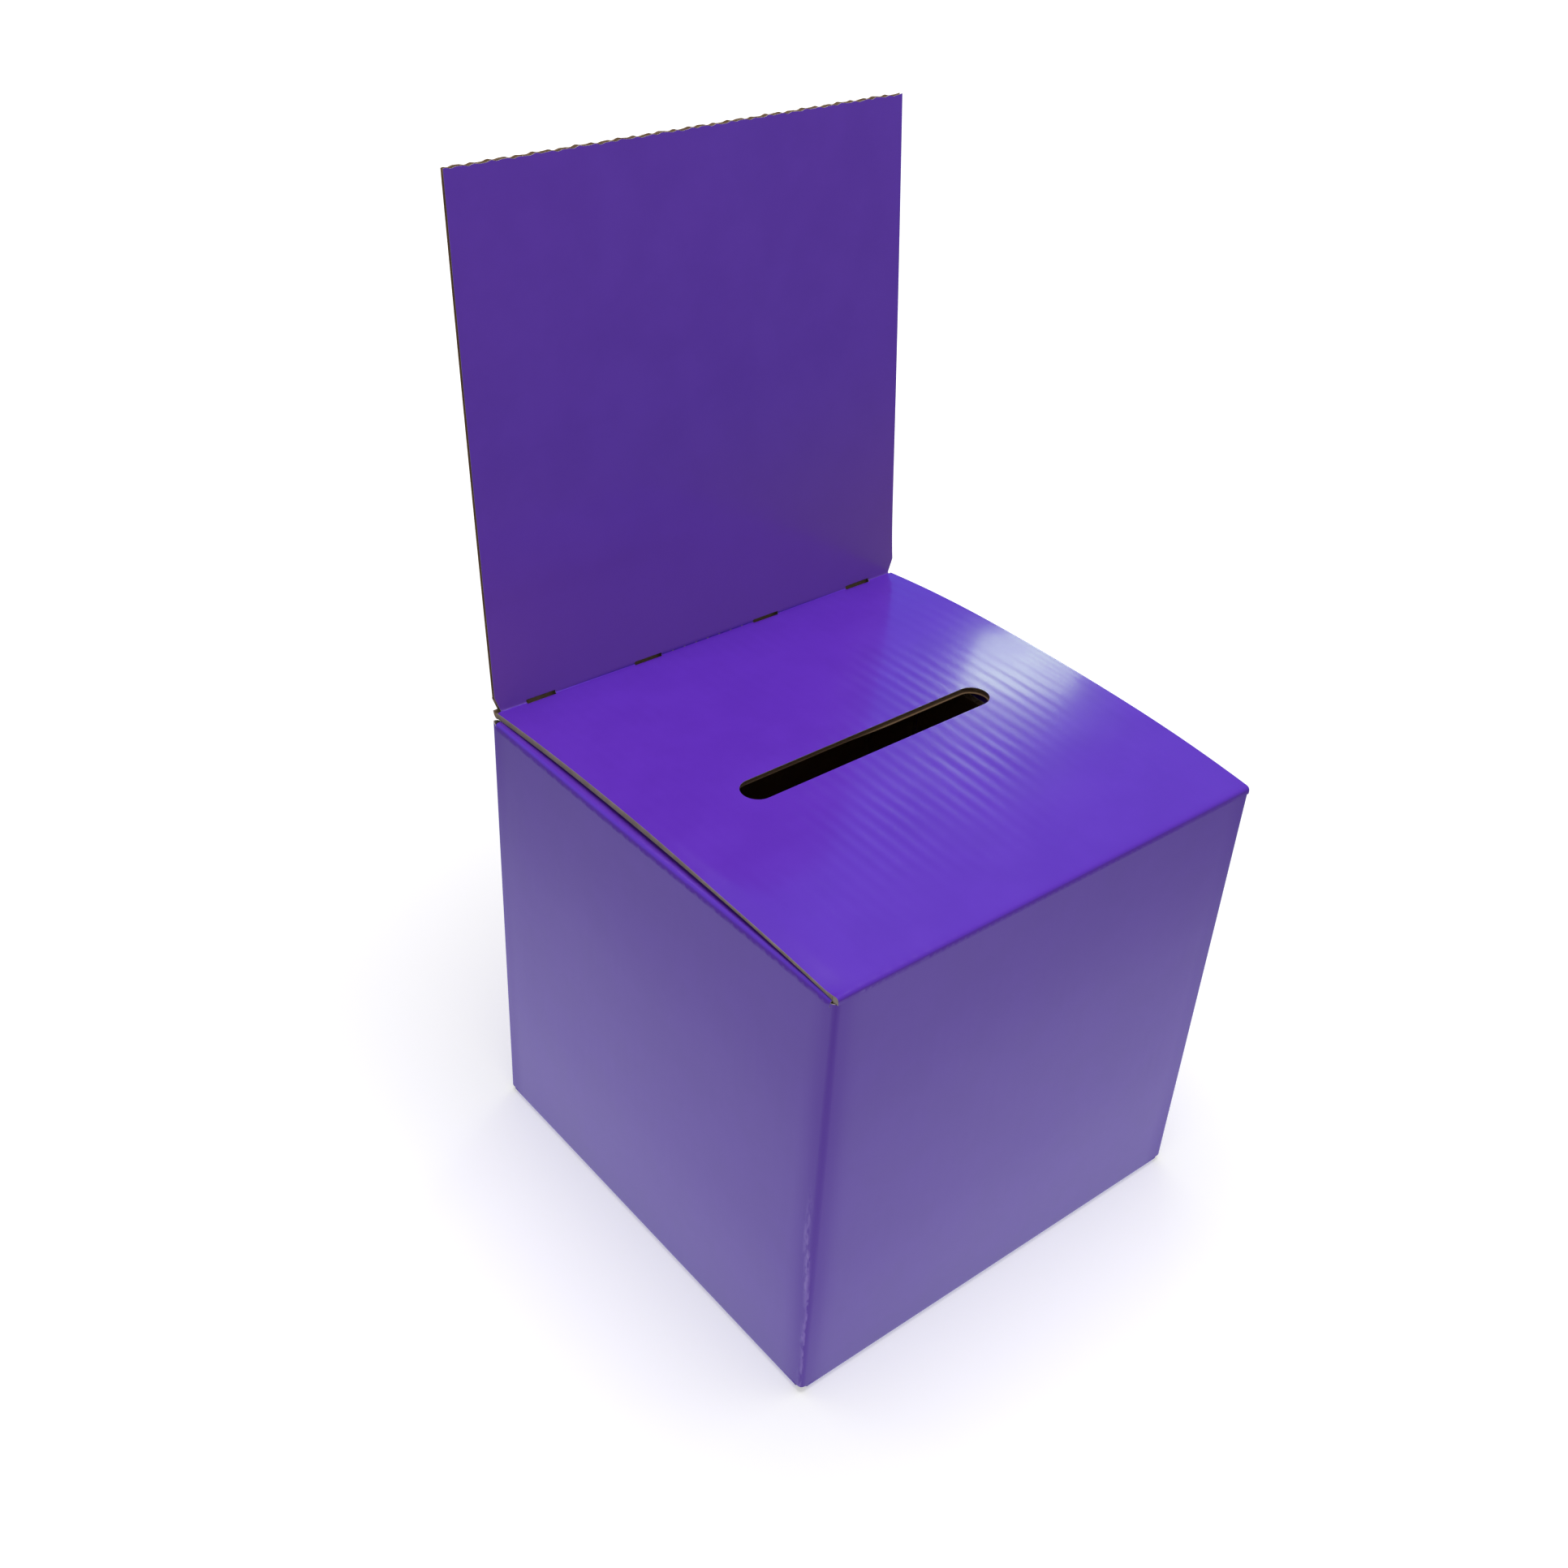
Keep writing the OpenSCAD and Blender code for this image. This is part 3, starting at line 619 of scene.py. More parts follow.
def cut_shape(outline, holes, columns, rows, clear=0.8):
    """Flat triangles of a die-cut sheet: its outline, its holes, and a grid of inner points
    that keeps clear of their edges."""
    loops = [outline, *holes]
    points, edges = [], []
    for loop in loops:
        start = len(points)
        points += [Vector(p) for p in loop]
        edges += [(start + i, start + (i + 1) % len(loop)) for i in range(len(loop))]

    def inside(loop, x, y):
        loop = np.asarray(loop)
        x0, y0 = loop[:, 0][:, None], loop[:, 1][:, None]
        x1, y1 = np.roll(x0, -1, 0), np.roll(y0, -1, 0)
        crosses = ((y0 > y) != (y1 > y)) & (x < (x1 - x0) * (y - y0) / (y1 - y0 + 1e-12) + x0)
        return crosses.sum(0) % 2 == 1

    def distance(x, y):
        best = np.full(len(x), 1e9)
        for loop in loops:
            ends = np.asarray(loop)
            for (ax, ay), (bx, by) in zip(ends, np.roll(ends, -1, 0)):
                length_squared = (bx - ax) ** 2 + (by - ay) ** 2 + 1e-12
                t = np.clip(((x - ax) * (bx - ax) + (y - ay) * (by - ay)) / length_squared, 0, 1)
                best = np.minimum(best, np.hypot(x - ax - t * (bx - ax), y - ay - t * (by - ay)))
        return best

    grid_x, grid_y = [part.ravel() for part in np.meshgrid(columns, rows)]
    keep = inside(outline, grid_x, grid_y)
    for hole in holes:
        keep &= ~inside(hole, grid_x, grid_y)
    grid_x, grid_y = grid_x[keep], grid_y[keep]
    keep = distance(grid_x, grid_y) > clear
    points += [Vector((x, y)) for x, y in zip(grid_x[keep], grid_y[keep])]
    found, _, triangles, *_ = delaunay_2d_cdt(points, edges, [], 1, 1e-7)
    flat = np.array([(p.x, p.y) for p in found])
    middle = flat[np.array([list(t) for t in triangles])].mean(1)
    keep = inside(outline, middle[:, 0], middle[:, 1])
    for hole in holes:
        keep &= ~inside(hole, middle[:, 0], middle[:, 1])
    return flat, [list(t) for t, good in zip(triangles, keep) if good]


def run(a, b, step):
    """Points from a to b, not counting b, about a step apart."""
    (ax, ay), (bx, by) = a, b
    n = max(1, round(math.hypot(bx - ax, by - ay) / step))
    return [(ax + (bx - ax) * i / n, ay + (by - ay) * i / n) for i in range(n)]


def closed_run(corners, step):
    return [p for a, b in zip(corners, corners[1:] + corners[:1]) for p in run(a, b, step)]


def slot_loop():
    radius = SLOT_W / 2
    turn = [math.radians(-90 + 180 * i / 20) for i in range(21)]
    loop = []
    for side in (1, -1):
        loop += [
            (side * (SLOT_STRAIGHT + radius * math.cos(a)), side * radius * math.sin(a))
            for a in turn
        ]
        edge = side * radius
        loop += run((side * SLOT_STRAIGHT, edge), (-side * SLOT_STRAIGHT, edge), 6.0)[1:]
    return loop


def lid_side(v, depth):
    """Place on the lid's side view at a distance v along the printed face, in mm."""
    v = np.asarray(v, float)
    angle = np.clip(v / FOLD_R, 0, math.pi / 2)
    reach = FOLD_R - depth
    inwards, upwards = creased(angle, 0.5)
    y = -HALF_D + FOLD_R - reach * inwards + np.maximum(v - ARC, 0)
    z = BOX_H - BOARD + reach * upwards + np.minimum(v, 0)
    return y, z


def lid_points(flat, depth):
    x, v = flat[:, 0], flat[:, 1]
    y, z = lid_side(v, depth)
    z = z + crown(x, y) - pinched(x, y)
    return np.stack([pushed_out(x, y, z), y, z], 1)


lid_end = ARC + LID_BACK + HALF_D - FOLD_R
slot_in_lid = [(x, y + ARC + HALF_D - FOLD_R) for x, y in slot_loop()]
lid_columns = np.linspace(-LID_HALF, LID_HALF, 73)[1:-1]
lid_rows = np.concatenate([np.linspace(0, ARC, 11)[1:], np.linspace(ARC, lid_end, 42)[1:-1]])
lid_flat, lid_faces = cut_shape(
    run((-LID_HALF, 0), (LID_HALF, 0), 3.0)
    + run((LID_HALF, 0), (LID_HALF, ARC), 0.5)
    + run((LID_HALF, ARC), (LID_HALF, lid_end), 4.0)
    + run((LID_HALF, lid_end), (-LID_HALF, lid_end), 3.0)
    + run((-LID_HALF, lid_end), (-LID_HALF, ARC), 4.0)
    + run((-LID_HALF, ARC), (-LID_HALF, 0), 0.5),
    [slot_in_lid],
    lid_columns,
    lid_rows,
    0.3,
)
lid_rear_fold = ARC + BOX_D - FOLD_R
# Distance from either fold, near which the lid is painted darker as painted shade.
lid_fold_away = np.minimum(np.abs(lid_flat[:, 1] - ARC / 2), lid_rear_fold - lid_flat[:, 1])
lid_sheet = solid_sheet(
    "lid_printed_sheet",
    lid_points(lid_flat, 0),
    lid_points(lid_flat, LINER),
    lid_faces,
    board_marks(lid_flat[:, 0], lid_fold_away),
)
finish_piece(lid_sheet, "purple_print", purple_lid, cut_edge)
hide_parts("lid_print")
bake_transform(lid_sheet)

# In the fold the flutes are crushed into one solid strip.
CORE_DEPTH = 2.5
core_flat = np.stack(
    grid_points(np.linspace(-LID_HALF, LID_HALF, 73), np.linspace(0, ARC, 9)), 1
)
lid_core = solid_sheet(
    "lid_fold_crushed_core",
    lid_points(core_flat, LINER),
    lid_points(core_flat, CORE_DEPTH),
    grid_faces(73, 9),
)
finish_piece(lid_core, "fluted_kraft", kraft_flute, cut_edge)
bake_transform(lid_core)


def kraft_slot_edge(x, y):
    """The kraft's far slot edge is hidden under the print on the left and shows on the right."""
    return y + (0.9 - 1.0 * float(smooth((x + 10) / 30))) * (y > 0)


LID_FRONT = -HALF_D + FOLD_R
LID_CRUSH = 0.28
kraft_flat, kraft_faces = cut_shape(
    closed_run(
        [(-LID_HALF, LID_FRONT), (LID_HALF, LID_FRONT), (LID_HALF, HALF_D), (-LID_HALF, HALF_D)],
        6.0,
    ),
    [[(x, kraft_slot_edge(x, y)) for x, y in slot_loop()]],
    np.linspace(-LID_HALF, LID_HALF, 37)[1:-1],
    np.linspace(LID_FRONT, HALF_D, 37)[1:-1],
)


def under_lid(x, y, drop):
    """Places in the closed lid's board, at a depth of drop below its printed face."""
    press = pinched(x, y)
    z = BOX_H - press - drop * (crushed(x, LID_HALF, LID_CRUSH) - press / BOARD) + crown(x, y)
    return np.stack([pushed_out(x, y, z), y, z], -1)


lid_kraft = solid_sheet(
    "lid_kraft_sheet",
    under_lid(*kraft_flat.T, BOARD - LINER),
    under_lid(*kraft_flat.T, BOARD),
    kraft_faces,
)
finish_piece(lid_kraft, "kraft_liner", kraft_liner, kraft_liner)
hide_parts("lid_kraft")
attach(lid_kraft, "lid")

# The lid's side edges are pressed shut: a thin, uneven band of crushed flutes covers each.
BAND_OUT, BAND_SWELL, BAND_IN, BAND_SAG = 0.12, 0.16, 0.2, 0.5
for side, name in ((-1, "left"), (1, "right")):
    edge_y, edge_t = grid_points(np.linspace(LID_FRONT, HALF_D, 72), np.linspace(0, 1, 5))
    uneven = 1 + 0.4 * np.sin(0.9 * edge_y) * np.sin(0.37 * edge_y)
    swell = BAND_OUT + BAND_SWELL * np.sin(np.pi * edge_t) * uneven
    edge_depth = LINER / 2 + (BOARD - 0.8 * LINER) * edge_t
    edge_line = under_lid(side * LID_HALF + 0 * edge_y, edge_y, edge_depth)
    edge_line[:, 2] -= BAND_SAG * edge_t
    outwards = np.array([side, 0, 0])
    edge_rings = edge_line + np.outer(swell, outwards), edge_line - BAND_IN * outwards
    edge_faces = grid_faces(72, 5)
    if side > 0:
        edge_faces = [face[::-1] for face in edge_faces]
    lid_edge = solid_sheet(f"lid_{name}_crushed_edge", *edge_rings, edge_faces)
    finish_piece(lid_edge, "fluted_kraft", crushed_edge, crushed_edge)
    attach(lid_edge, "lid")


def flute_wave(x, start):
    """Depth of the fluted sheet's middle below the printed face, if flutes start at x = start."""
    swing = (BOARD - 2 * LINER - MEDIUM) / 2
    phase = 2 * np.pi * (x - start) / (FLUTE_PITCH / MM)
    return BOARD / 2 - swing * np.clip(1.25 * np.cos(phase), -1, 1)


def fluted_sheet(name, columns, runs, place, start):
    """A wavy sheet: runs(x) gives its stretches along the flutes, and place() the points."""
    quarter = (columns[1] - columns[0]) / 4
    depth = flute_wave(columns, start)
    climb = flute_wave(columns + quarter, start) - flute_wave(columns - quarter, start)
    slope = climb / (2 * quarter)
    steep = np.hypot(1, slope)
    shift, half = MEDIUM / 2 * slope / steep, MEDIUM / 2 / steep
    rows = 24
    outer, inner, faces = [], [], []
    for strip in range(len(runs(columns[0]))):
        low, high = np.array([runs(x)[strip] for x in columns]).T[:, :, None]
        v = low + (high - low) * np.linspace(0, 1, rows)
        for points, side in ((outer, 1), (inner, -1)):
            xs, depths = columns + side * shift, depth - side * half
            points.append(place(xs[:, None] * np.ones(rows), v, depths[:, None] * np.ones(rows)))
        faces += grid_faces(len(columns), rows, strip * len(columns) * rows)
    outer, inner = [np.concatenate(points).reshape(-1, 3) for points in (outer, inner)]
    return solid_sheet(name, outer, inner, faces)


SLITS = (-86.0, -32.0, 32.0, 86.0)
SLIT_L, SLIT_REACH, SLIT_OPEN = 14.0, 1.7, 1.35
FLUTES_BACK = 2.5


def at_slit(x):
    return any(abs(x - place) < SLIT_L / 2 for place in SLITS)


def lid_flute_runs(x):
    beyond = max(abs(x) - SLOT_STRAIGHT, 0)
    half = math.sqrt(max((SLOT_W / 2 + FLUTES_BACK) ** 2 - beyond**2, 0))
    back = HALF_D - (SLIT_REACH if at_slit(x) else 0)
    return (LID_FRONT, -half), (half, back)


lid_flutes = fluted_sheet(
    "lid_fluted_sheet",
    np.linspace(-LID_HALF + 0.1, LID_HALF - 0.1, 341),
    lid_flute_runs,
    under_lid,
    -LID_HALF - 1.4,
)
finish_piece(lid_flutes, "fluted_kraft", kraft_flute, kraft_flute)
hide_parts("lid_flutes")
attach(lid_flutes, "lid")


# Header: the lid's own board, folded up at its rear edge and leaning back. Four slits
# weaken the fold so that the header can be torn off; its lower corners are nicked.
LEAN = math.radians(5.4)
HEADER_H = 213.6
HEADER_L, HEADER_R = -107.4, 108.0
NICK_W, NICK_H = 3.0, 7.0
FILLET = 0.8
HEADER_CRUSH = 0.4
FOLD_BOW, SWAY, TOP_RISE = 0.9, 0.7, 0.5
UP = np.array([0.0, math.sin(LEAN), math.cos(LEAN)])
FACE = np.array([0.0, -math.cos(LEAN), math.sin(LEAN)])
HINGE = np.array([0.0, HALF_D, BOX_H])


def header_warp(x, v):
    """How far the header's face stands proud of flat, in mm."""
    base = FOLD_BOW * np.cos(np.pi * x / BOX_W) * np.exp(-np.maximum(v, 0) / 40)
    sway = SWAY * np.sin(np.pi * v / HEADER_H) * np.sin(np.pi * (x + 40) / BOX_W)
    return base + np.where(v > 0, sway, 0)


def header_top(x):
    """The die-cut top edge: ragged, with a small bump over every flute, and higher on the left."""
    bumps = 0.22 * np.cos(2 * np.pi * x / (FLUTE_PITCH / MM))
    ragged = bumps + 0.12 * np.sin(x * 0.35) + 0.1 * np.sin(x * 1.7)
    return ragged + TOP_RISE - TOP_RISE * x / HALF_W


def header_thickness(x, v):
    """The share of the board's thickness that is left, whose side edges are crushed."""
    return np.where(v > NICK_H, crushed(x, HALF_W - 0.6, HEADER_CRUSH), 1.0)


def header_points(flat, depth):
    """Places on the sheet that runs from the lid's rear strip, v below 0, up the header."""
    x, v = flat[:, 0], flat[:, 1]
    t = np.clip((v + FILLET) / (2 * FILLET), 0, 1)
    bend_start = HINGE - np.array([0, FILLET, 0])
    bend_end = HINGE + UP * FILLET
    bend = (
        np.outer((1 - t) ** 2, bend_start)
        + np.outer(2 * t * (1 - t), HINGE)
        + np.outer(t**2, bend_end)
    )
    flat_part = np.minimum(v + FILLET, 0)[:, None] * np.array([0, 1.0, 0])
    high_part = np.maximum(v - FILLET, 0)[:, None] * UP
    points = bend + flat_part + high_part
    turn = t * t * (3 - 2 * t)
    normal = (1 - turn)[:, None] * np.array([0, 0, 1.0]) + turn[:, None] * FACE
    normal /= np.linalg.norm(normal, axis=1)[:, None]
    proud = turn * header_warp(x, v) - depth * header_thickness(x, v)
    points = points + normal * proud[:, None]
    points[:, 2] += np.where(v < 0, crown(x, HALF_D + v), 0)
    points[:, 0] += pushed_out(x, points[:, 1], points[:, 2])
    return points


def header_outline(low):
    """The header's outline, from its fold at 0, or with the lid's rear strip from low."""
    top = [(x, HEADER_H + float(header_top(x))) for x in np.linspace(HEADER_R, HEADER_L, 241)]
    sides = []
    if low < 0:
        sides += run((-LID_HALF, low), (LID_HALF, low), 3.0)
        sides += run((LID_HALF, low), (LID_HALF, -0.6), 0.8) + [(LID_HALF, -0.6)]
    else:
        sides += run((-HALF_W + NICK_W, 0), (HALF_W - NICK_W, 0), 3.0)
    sides += run((HALF_W - NICK_W, 0), (HEADER_R, NICK_H), 1.5)
    sides += run((HEADER_R, NICK_H), top[0], 4.0)
    sides += top[:-1]
    sides += run(top[-1], (HEADER_L, NICK_H), 4.0)
    sides += run((HEADER_L, NICK_H), (-HALF_W + NICK_W, 0), 1.5)
    if low < 0:
        sides += [(-HALF_W + NICK_W, 0), (-LID_HALF, -0.6)]
        sides += run((-LID_HALF, -0.6), (-LID_HALF, low), 0.8)[1:]
    return sides


def slit_holes():
    return [
        closed_run(
            [
                (place - SLIT_L / 2, -SLIT_OPEN),
                (place + SLIT_L / 2, -SLIT_OPEN),
                (place + SLIT_L / 2, SLIT_OPEN),
                (place - SLIT_L / 2, SLIT_OPEN),
            ],
            0.6,
        )
        for place in SLITS
    ]


strip_low = LID_BACK - HALF_D
header_flat, header_faces = cut_shape(
    header_outline(strip_low),
    slit_holes(),
    np.linspace(-HALF_W, HALF_W, 73)[1:-1],
    np.concatenate([
        np.linspace(strip_low, FILLET, 15)[1:],
        np.linspace(2.0, 8.0, 5),
        np.linspace(10, HEADER_H, 48),
    ]),
    0.25,
)
# The header's distance from its fold sets its painted reflection; the lid's rear strip takes the
# lid's painted shade.
header_sheet = solid_sheet(
    "header_printed_sheet",
    header_points(header_flat, 0),
    header_points(header_flat, LINER),
    header_faces,
    board_marks(header_flat[:, 0], np.abs(header_flat[:, 1])),
)
finish_piece(header_sheet, "purple_print", purple_header, cut_edge, purple_lid)
LID_INK = 2
for face, corners in zip(header_sheet.data.polygons, header_faces):
    if max(header_flat[i][1] for i in corners) < 0.1:
        face.material_index = LID_INK
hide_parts("header_print")
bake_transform(header_sheet)

back_flat, back_faces = cut_shape(
    header_outline(0.0),
    [],
    np.linspace(-HALF_W, HALF_W, 37)[1:-1],
    np.linspace(0, HEADER_H, 37)[1:],
)
past_bend = FILLET + 0.01
header_kraft = solid_sheet(
    "header_kraft_sheet",
    header_points(back_flat + [0, past_bend], BOARD - LINER) - UP * past_bend,
    header_points(back_flat + [0, past_bend], BOARD) - UP * past_bend,
    back_faces,
)
finish_piece(header_kraft, "kraft_liner", kraft_liner, kraft_liner)
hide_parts("header_kraft")
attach(header_kraft, "header")


def header_flute_runs(x):
    low = max(0.0, (abs(x) - HALF_W + NICK_W) / NICK_W * NICK_H)
    if at_slit(x):
        low = SLIT_REACH
    return ((low, HEADER_H + float(header_top(x)) - 0.1),)


def header_flute_place(x, v, depth):
    proud = header_warp(x, v) - depth * header_thickness(x, v)
    points = HINGE + v[..., None] * UP + proud[..., None] * FACE
    points[..., 0] = pushed_out(x, points[..., 1], points[..., 2])
    return points


header_flutes = fluted_sheet(
    "header_fluted_sheet",
    np.linspace(HEADER_L + 0.1, HEADER_R - 0.1, 345),
    header_flute_runs,
    header_flute_place,
    0.0,
)
finish_piece(header_flutes, "fluted_kraft", kraft_flute, kraft_flute)
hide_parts("header_flutes")
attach(header_flutes, "header")

# Outside the fold the kraft sheet is stretched round in a creased quarter pipe, with the
# crushed flutes inside it.
HINGE_INNER, HINGE_CREASE = 1.75, 0.18
hinge_x = np.linspace(-LID_HALF, LID_HALF, 108)
hinge_a = np.linspace(-math.pi / 2, -LEAN, 13)
hinge_outer, hinge_inner = [], []
for x in hinge_x:
    for a in hinge_a:
        swell = HINGE_CREASE * math.sin(x * 1.3 + 3 * a) * math.sin(2 * (a + math.pi / 2))
        for ring, radius in ((hinge_outer, BOARD + swell), (hinge_inner, HINGE_INNER)):
            y, z = HALF_D + radius * math.cos(a), BOX_H + radius * math.sin(a)
            ring.append((float(pushed_out(x, y, z)), y, z))
hinge_kraft = solid_sheet(
    "header_hinge_kraft", hinge_outer, hinge_inner, grid_faces(len(hinge_x), len(hinge_a))
)
finish_piece(hinge_kraft, "kraft_liner", kraft_liner, kraft_flute)
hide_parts("header_fold_kraft")
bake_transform(hinge_kraft)


# Walls: four panels of the same board, scored and folded at the upright corners. Each
# print runs half way round its corners, and the panels bulge very slightly.
WALL_FOOT = BOARD
FRONT_TOP = BOX_H - BOARD
WALL_TOP = BOX_H - 2 * BOARD - 0.3
WALL_ROWS = 49
END_SPAN = 12
PROUD, CREASE_DIP, CREASE_WIDE = 0.75, 0.25, 5


def wall_plan(first, last, s, depth):
    """Place on a wall's plan, to the right and inwards, at s along it. Past the flat part's
    ends at first and last, it goes half way round the corner."""
    s = np.asarray(s, float)
    reach = FOLD_R - depth
    left = np.clip((first - s) / FOLD_R, 0, math.pi / 4)
    right = np.clip((s - last) / FOLD_R, 0, math.pi / 4)
    x = np.clip(s, first, last) - reach * creased(left)[1] + reach * creased(right)[1]
    y = FOLD_R - reach * creased(np.maximum(left, right))[0]
    return x, y


def along_edge(s):
    """Place along a side wall's top edge, from 0 to 1 between its corners."""
    return np.clip((s + HALF_D - BOARD) / (BOX_D - 2 * BOARD), 0, 1)


def crumpled_line(crease, z):
    """How strongly a point lies on the wavy line that runs up beside a creased corner, where
    the print is crumpled and painted lighter as a painted highlight.
    """
    line = 0.8 + 2.6 * smooth((z - 45) / 55) + 0.3 * np.sin(0.23 * z) + 0.2 * np.sin(0.61 * z + 1)
    return np.exp(-(((crease - line) / 0.9) ** 2)) * np.clip((118 - z) / 30, 0, 1)


def turned(turn, x, y):
    """A place on a side's own plan, turned about the middle of the box."""
    c, d = math.cos(turn), math.sin(turn)
    return c * x - d * y, d * x + c * y


def wall_sheet(name, node, turn, distance, ends, top, folds, lift, bulge, ramp=1.0, worn_and_highlit=0.0):
    """One wall's print: its flat part's ends, which ends fold, and how far its top rises:
    at the first corner, at the last corner, all along, and more in the middle. The ramp is
    how far a corner's rise reaches, and the last argument how strongly its last crease is
    crumpled and painted lighter, a painted highlight."""
    quarter = FOLD_R * math.pi / 4
    first, last = ends
    columns = [
        first + END_SPAN * np.linspace(0, 1, 9)[:-1] ** 1.5,
        np.linspace(first + END_SPAN, last - END_SPAN, 44),
        last - END_SPAN * np.linspace(1, 0, 9)[1:] ** 1.5,
    ]
    if folds[0]:
        columns.insert(0, np.linspace(first - quarter, first, 9)[:-1])
    if folds[1]:
        columns.append(np.linspace(last, last + quarter, 9)[1:])
    columns = np.concatenate(columns)
    along, up = grid_points(columns, np.linspace(0, 1, WALL_ROWS))
    rise = lift[0] * smooth((first + ramp - along) / (ramp + 1.5))
    rise = rise + lift[1] * smooth((along - last + ramp) / (ramp + 1.5))
    rise = rise + lift[2] + lift[3] * bow(along_edge(along))
    z = WALL_FOOT + (top + rise - WALL_FOOT) * up
    crease = np.full(len(along), 1e3)
    if folds[0]:
        crease = np.minimum(crease, np.abs(along - first + quarter))
    if folds[1]:
        crease = np.minimum(crease, np.abs(along - last - quarter))
    inset = 1 - np.exp(-np.minimum(along - columns[0], columns[-1] - along) / CREASE_WIDE)
    proud = PROUD * inset * smooth(3 * np.minimum(up, 1 - up))
    dip = CREASE_DIP * np.exp(-crease / CREASE_WIDE)

    def points(depth):
        x, y = wall_plan(first, last, along, depth)
        y = y - distance - bulge(along_edge(along), up) - proud + dip
        right, back = turned(turn, x, y)
        return np.stack([pushed_out(right, back, z, 1.0), back, z], 1)

    # Beside the upright creases the print is painted darker, painted shade; on the left wall a
    # wavy line by the front crease is crumpled and painted lighter, a painted highlight.
    board = board_marks(along, crease, worn_and_highlit * (along > 0) * crumpled_line(crease, z))
    sheet = solid_sheet(
        name, points(0), points(LINER), grid_faces(len(columns), WALL_ROWS), board
    )
    finish_piece(sheet, "purple_print", purple_panel, cut_edge)
    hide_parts(node)
    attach(sheet, "carton")


def gentle(amount, lean=0.0):
    """A panel that bulges in its middle, and whose top is pushed out by its ledge flap."""
    return lambda a, b: amount * np.sin(np.pi * a) * np.sin(np.pi * b) + lean * bow(a) * b**3


IN_W, IN_D = HALF_W - BOARD, HALF_D - BOARD
GLUED_END = 101.9
OUT_LEFT, OUT_RIGHT, OUT_BACK = 1.0, 1.0, 0.6
RISE_LEFT, RISE_RIGHT = (0.9, 1.7), (0.9, 2.5)
wall_sheet(
    "front_wall_printed_sheet",
    "front_wall_print",
    turn=0.0,
    distance=HALF_D,
    ends=(-IN_W, IN_W),
    top=FRONT_TOP,
    folds=(1, 1),
    lift=(0, 0, 0, 0),
    bulge=gentle(0.7),
)
wall_sheet(
    "right_wall_printed_sheet",
    "right_wall_print",
    turn=math.pi / 2,
    distance=HALF_W,
    ends=(-IN_D, HALF_D),
    top=WALL_TOP,
    folds=(1, 0),
    lift=(2.4, 0, *RISE_RIGHT),
    bulge=gentle(0.5, OUT_RIGHT),
    ramp=3.0,
)
wall_sheet(
    "back_wall_printed_sheet",
    "back_wall_print",
    turn=math.pi,
    distance=HALF_D,
    ends=(-GLUED_END, IN_W),
    top=WALL_TOP,
    folds=(1, 1),
    lift=(0, 3.6, 0, 0),
    bulge=gentle(0.6, OUT_BACK),
    ramp=4.5,
)
wall_sheet(
    "left_wall_printed_sheet",
    "left_wall_print",
    turn=-math.pi / 2,
    distance=HALF_W,
    ends=(-IN_D, IN_D),
    top=WALL_TOP,
    folds=(1, 1),
    lift=(3.0, 2.4, *RISE_LEFT),
    bulge=gentle(0.8, OUT_LEFT),
    ramp=3.0,
    # The left wall's front crease has a crumpled line with a painted highlight.
    worn_and_highlit=1.0,
)


def finish_solid(node_name, finish):
    """Gives one of the part's own solids its finish."""
    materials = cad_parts[node_name].data.materials
    materials.clear()
    materials.append(finish)


for wall in ("front", "right", "back", "left"):
    finish_solid(f"{wall}_wall_flutes", kraft_flute)
    finish_solid(f"{wall}_wall_kraft", kraft_liner)


# Ledge flaps: short flaps at the top of the side and back walls, folded in on a rounded
# score to carry the lid. The print stretches over the score as a bright shoulder.
SIDE_REACH, BACK_REACH = 41.0, 33.0
ARCH_REACH, TAB = 9, 4.0
NO_FOLD_NEAR = 50.0


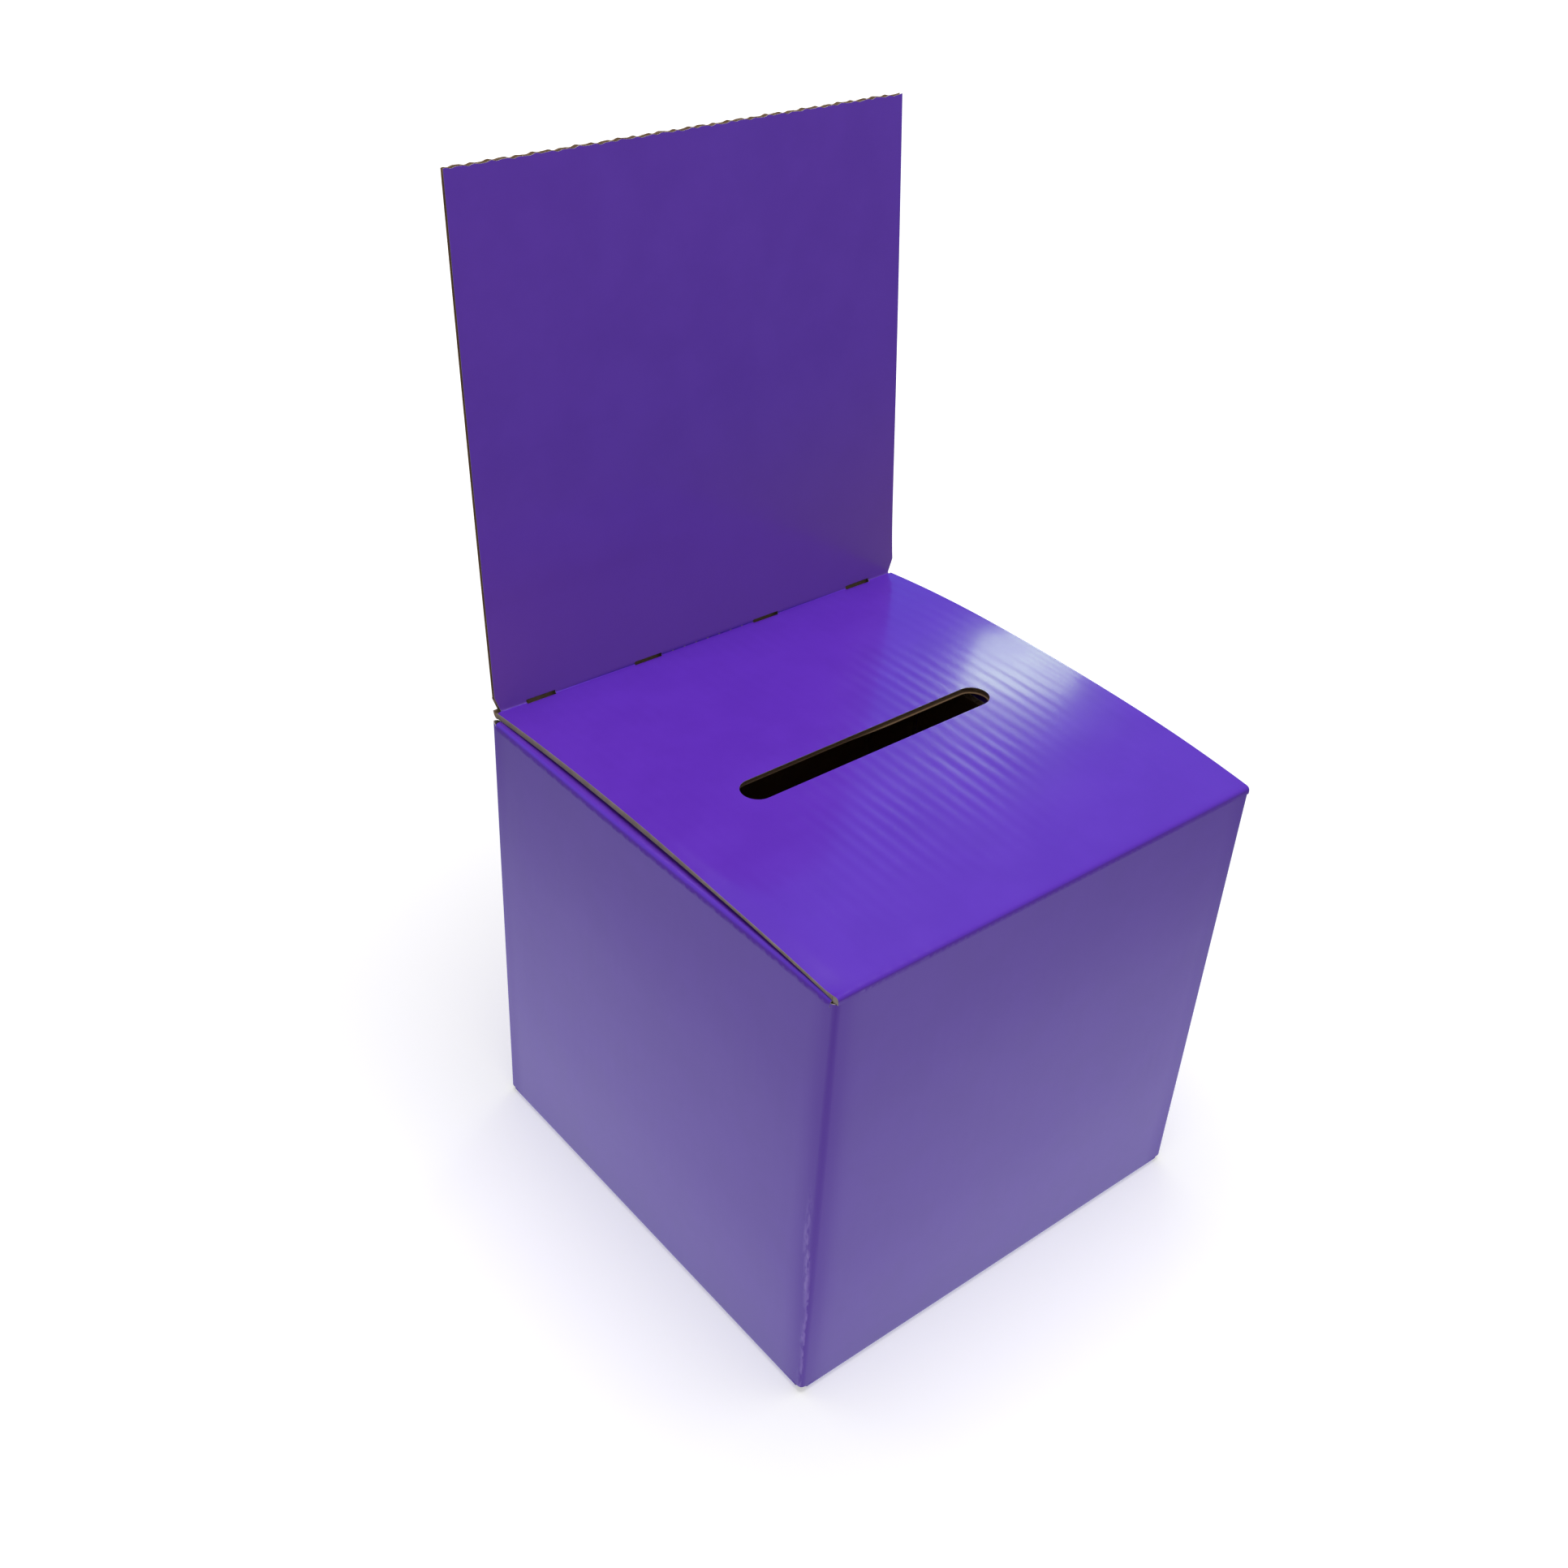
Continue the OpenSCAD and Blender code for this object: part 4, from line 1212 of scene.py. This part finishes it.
def ledge_flap(side, turn, distance, reach, plate, fold, rise, arch, out):
    """Three sheets of one flap: the ends of its plate and of its fold, how far it rises all
    along and in the middle, how far it arches up beside its score, because the board springs
    back, and how far the score stands out."""
    body = f"{side}_ledge"
    (plate_low, plate_high), (fold_low, fold_high) = plate, fold
    end_v = ARC + reach - BOARD

    def place(x, v, depth):
        x, v = np.asarray(x, float), np.asarray(v, float)
        away, upwards = creased(np.clip(v / FOLD_R, 0, math.pi / 2), 0.55)
        inwards = FOLD_R - (FOLD_R - depth) * away + np.maximum(v - ARC, 0)
        swell = bow(along_edge(x))
        falls = 1 - 0.9 * smooth((inwards - ARCH_REACH) / (reach - ARCH_REACH))
        lifted = rise[0] + (rise[1] + arch * smooth(inwards / ARCH_REACH)) * swell
        z = WALL_TOP + (FOLD_R - depth) * upwards + lifted * falls
        y = inwards - distance - out * swell * (1 - smooth(inwards / 25))
        right, back = turned(turn, x, y)
        return np.stack([pushed_out(right, back, z, 1.0), back, z], -1)

    # Where the fold runs on past the plate, a short tab stays behind it.
    beyond = fold_high - plate_high, plate_low - fold_low
    tab_high, tab_low = [ARC + (TAB if gap > 5 else 0.0) for gap in beyond]
    outline = (
        run((fold_low, 0), (fold_high, 0), 2.5)
        + run((fold_high, 0), (fold_high, tab_high), 0.6)
        + run((fold_high, tab_high), (plate_high, tab_high), 3.0)
        + run((plate_high, tab_high), (plate_high, end_v), 4.0)
        + run((plate_high, end_v), (plate_low, end_v), 4.0)
        + run((plate_low, end_v), (plate_low, tab_low), 4.0)
        + run((plate_low, tab_low), (fold_low, tab_low), 3.0)
        + run((fold_low, tab_low), (fold_low, 0), 0.6)
    )
    flat, faces = cut_shape(
        outline,
        [],
        np.linspace(fold_low, fold_high, 61)[1:-1],
        np.concatenate([np.linspace(0, ARC, 9)[1:], np.linspace(ARC, end_v, 17)[1:-1]]),
        0.25,
    )
    print_points = [place(flat[:, 0], flat[:, 1], depth) for depth in (0, LINER)]
    board = board_marks(flat[:, 0], NO_FOLD_NEAR)
    print_sheet = solid_sheet(f"{side}_ledge_printed_sheet", *print_points, faces, board)
    finish_piece(print_sheet, "purple_print", purple_panel, cut_edge)
    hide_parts(f"{side}_ledge_print")
    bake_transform(print_sheet)

    pitches = round((plate_high - plate_low) / (FLUTE_PITCH / MM))
    flutes = fluted_sheet(
        f"{side}_ledge_fluted_sheet",
        np.linspace(plate_low + 0.1, plate_high - 0.1, 12 * pitches + 1),
        lambda x: ((ARC, end_v),),
        place,
        plate_low,
    )
    finish_piece(flutes, "fluted_kraft", kraft_flute, kraft_flute)
    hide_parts(f"{side}_ledge_flutes")
    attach(flutes, body)

    plate_corners = [(plate_low, ARC), (plate_high, ARC), (plate_high, end_v), (plate_low, end_v)]
    under, under_faces = cut_shape(
        closed_run(plate_corners, 5.0),
        [],
        np.linspace(plate_low, plate_high, 37)[1:-1],
        np.linspace(ARC, end_v, 13)[1:-1],
    )
    kraft_points = [place(under[:, 0], under[:, 1], depth) for depth in (BOARD - LINER, BOARD)]
    kraft = solid_sheet(f"{side}_ledge_kraft_sheet", *kraft_points, under_faces)
    finish_piece(kraft, "kraft_liner", kraft_liner, kraft_liner)
    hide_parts(f"{side}_ledge_kraft")
    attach(kraft, body)


ledge_flap(
    "right",
    turn=math.pi / 2,
    distance=HALF_W,
    reach=SIDE_REACH,
    plate=(-102.0, 72.0),
    fold=(-103.9, 103.9),
    rise=RISE_RIGHT,
    arch=1.0,
    out=OUT_RIGHT,
)
ledge_flap(
    "left",
    turn=-math.pi / 2,
    distance=HALF_W,
    reach=SIDE_REACH,
    plate=(-72.0, 102.0),
    fold=(-103.9, 103.9),
    rise=RISE_LEFT,
    arch=0.8,
    out=OUT_LEFT,
)
ledge_flap(
    "back",
    turn=math.pi,
    distance=HALF_D,
    reach=BACK_REACH,
    plate=(-100.0, 100.0),
    fold=(-101.0, 101.0),
    rise=(0.0, 0.0),
    arch=0.5,
    out=OUT_BACK,
)


# Bottom flaps and glued joint: the same board, folded in under the box and locked by a
# tongue, and a flap glued behind the right wall with white carton glue.
for flap, printed in (
    ("bottom_front", purple_base_x),
    ("bottom_back", purple_base_x),
    ("bottom_left", purple_base_y),
    ("bottom_right", purple_base_y),
    ("glue_flap", purple_base_y),
):
    finish_solid(f"{flap}_print", printed)
    finish_solid(f"{flap}_flutes", kraft_flute)
    finish_solid(f"{flap}_kraft", kraft_liner)
dried_glue = paper_finish(
    "dried_carton_glue",
    pale=(0.75, 0.72, 0.60),
    dark=(0.62, 0.58, 0.45),
    speck=(0.5, 0.45, 0.35),
    roughness=0.4,
)
finish_solid("glue_line", dried_glue)
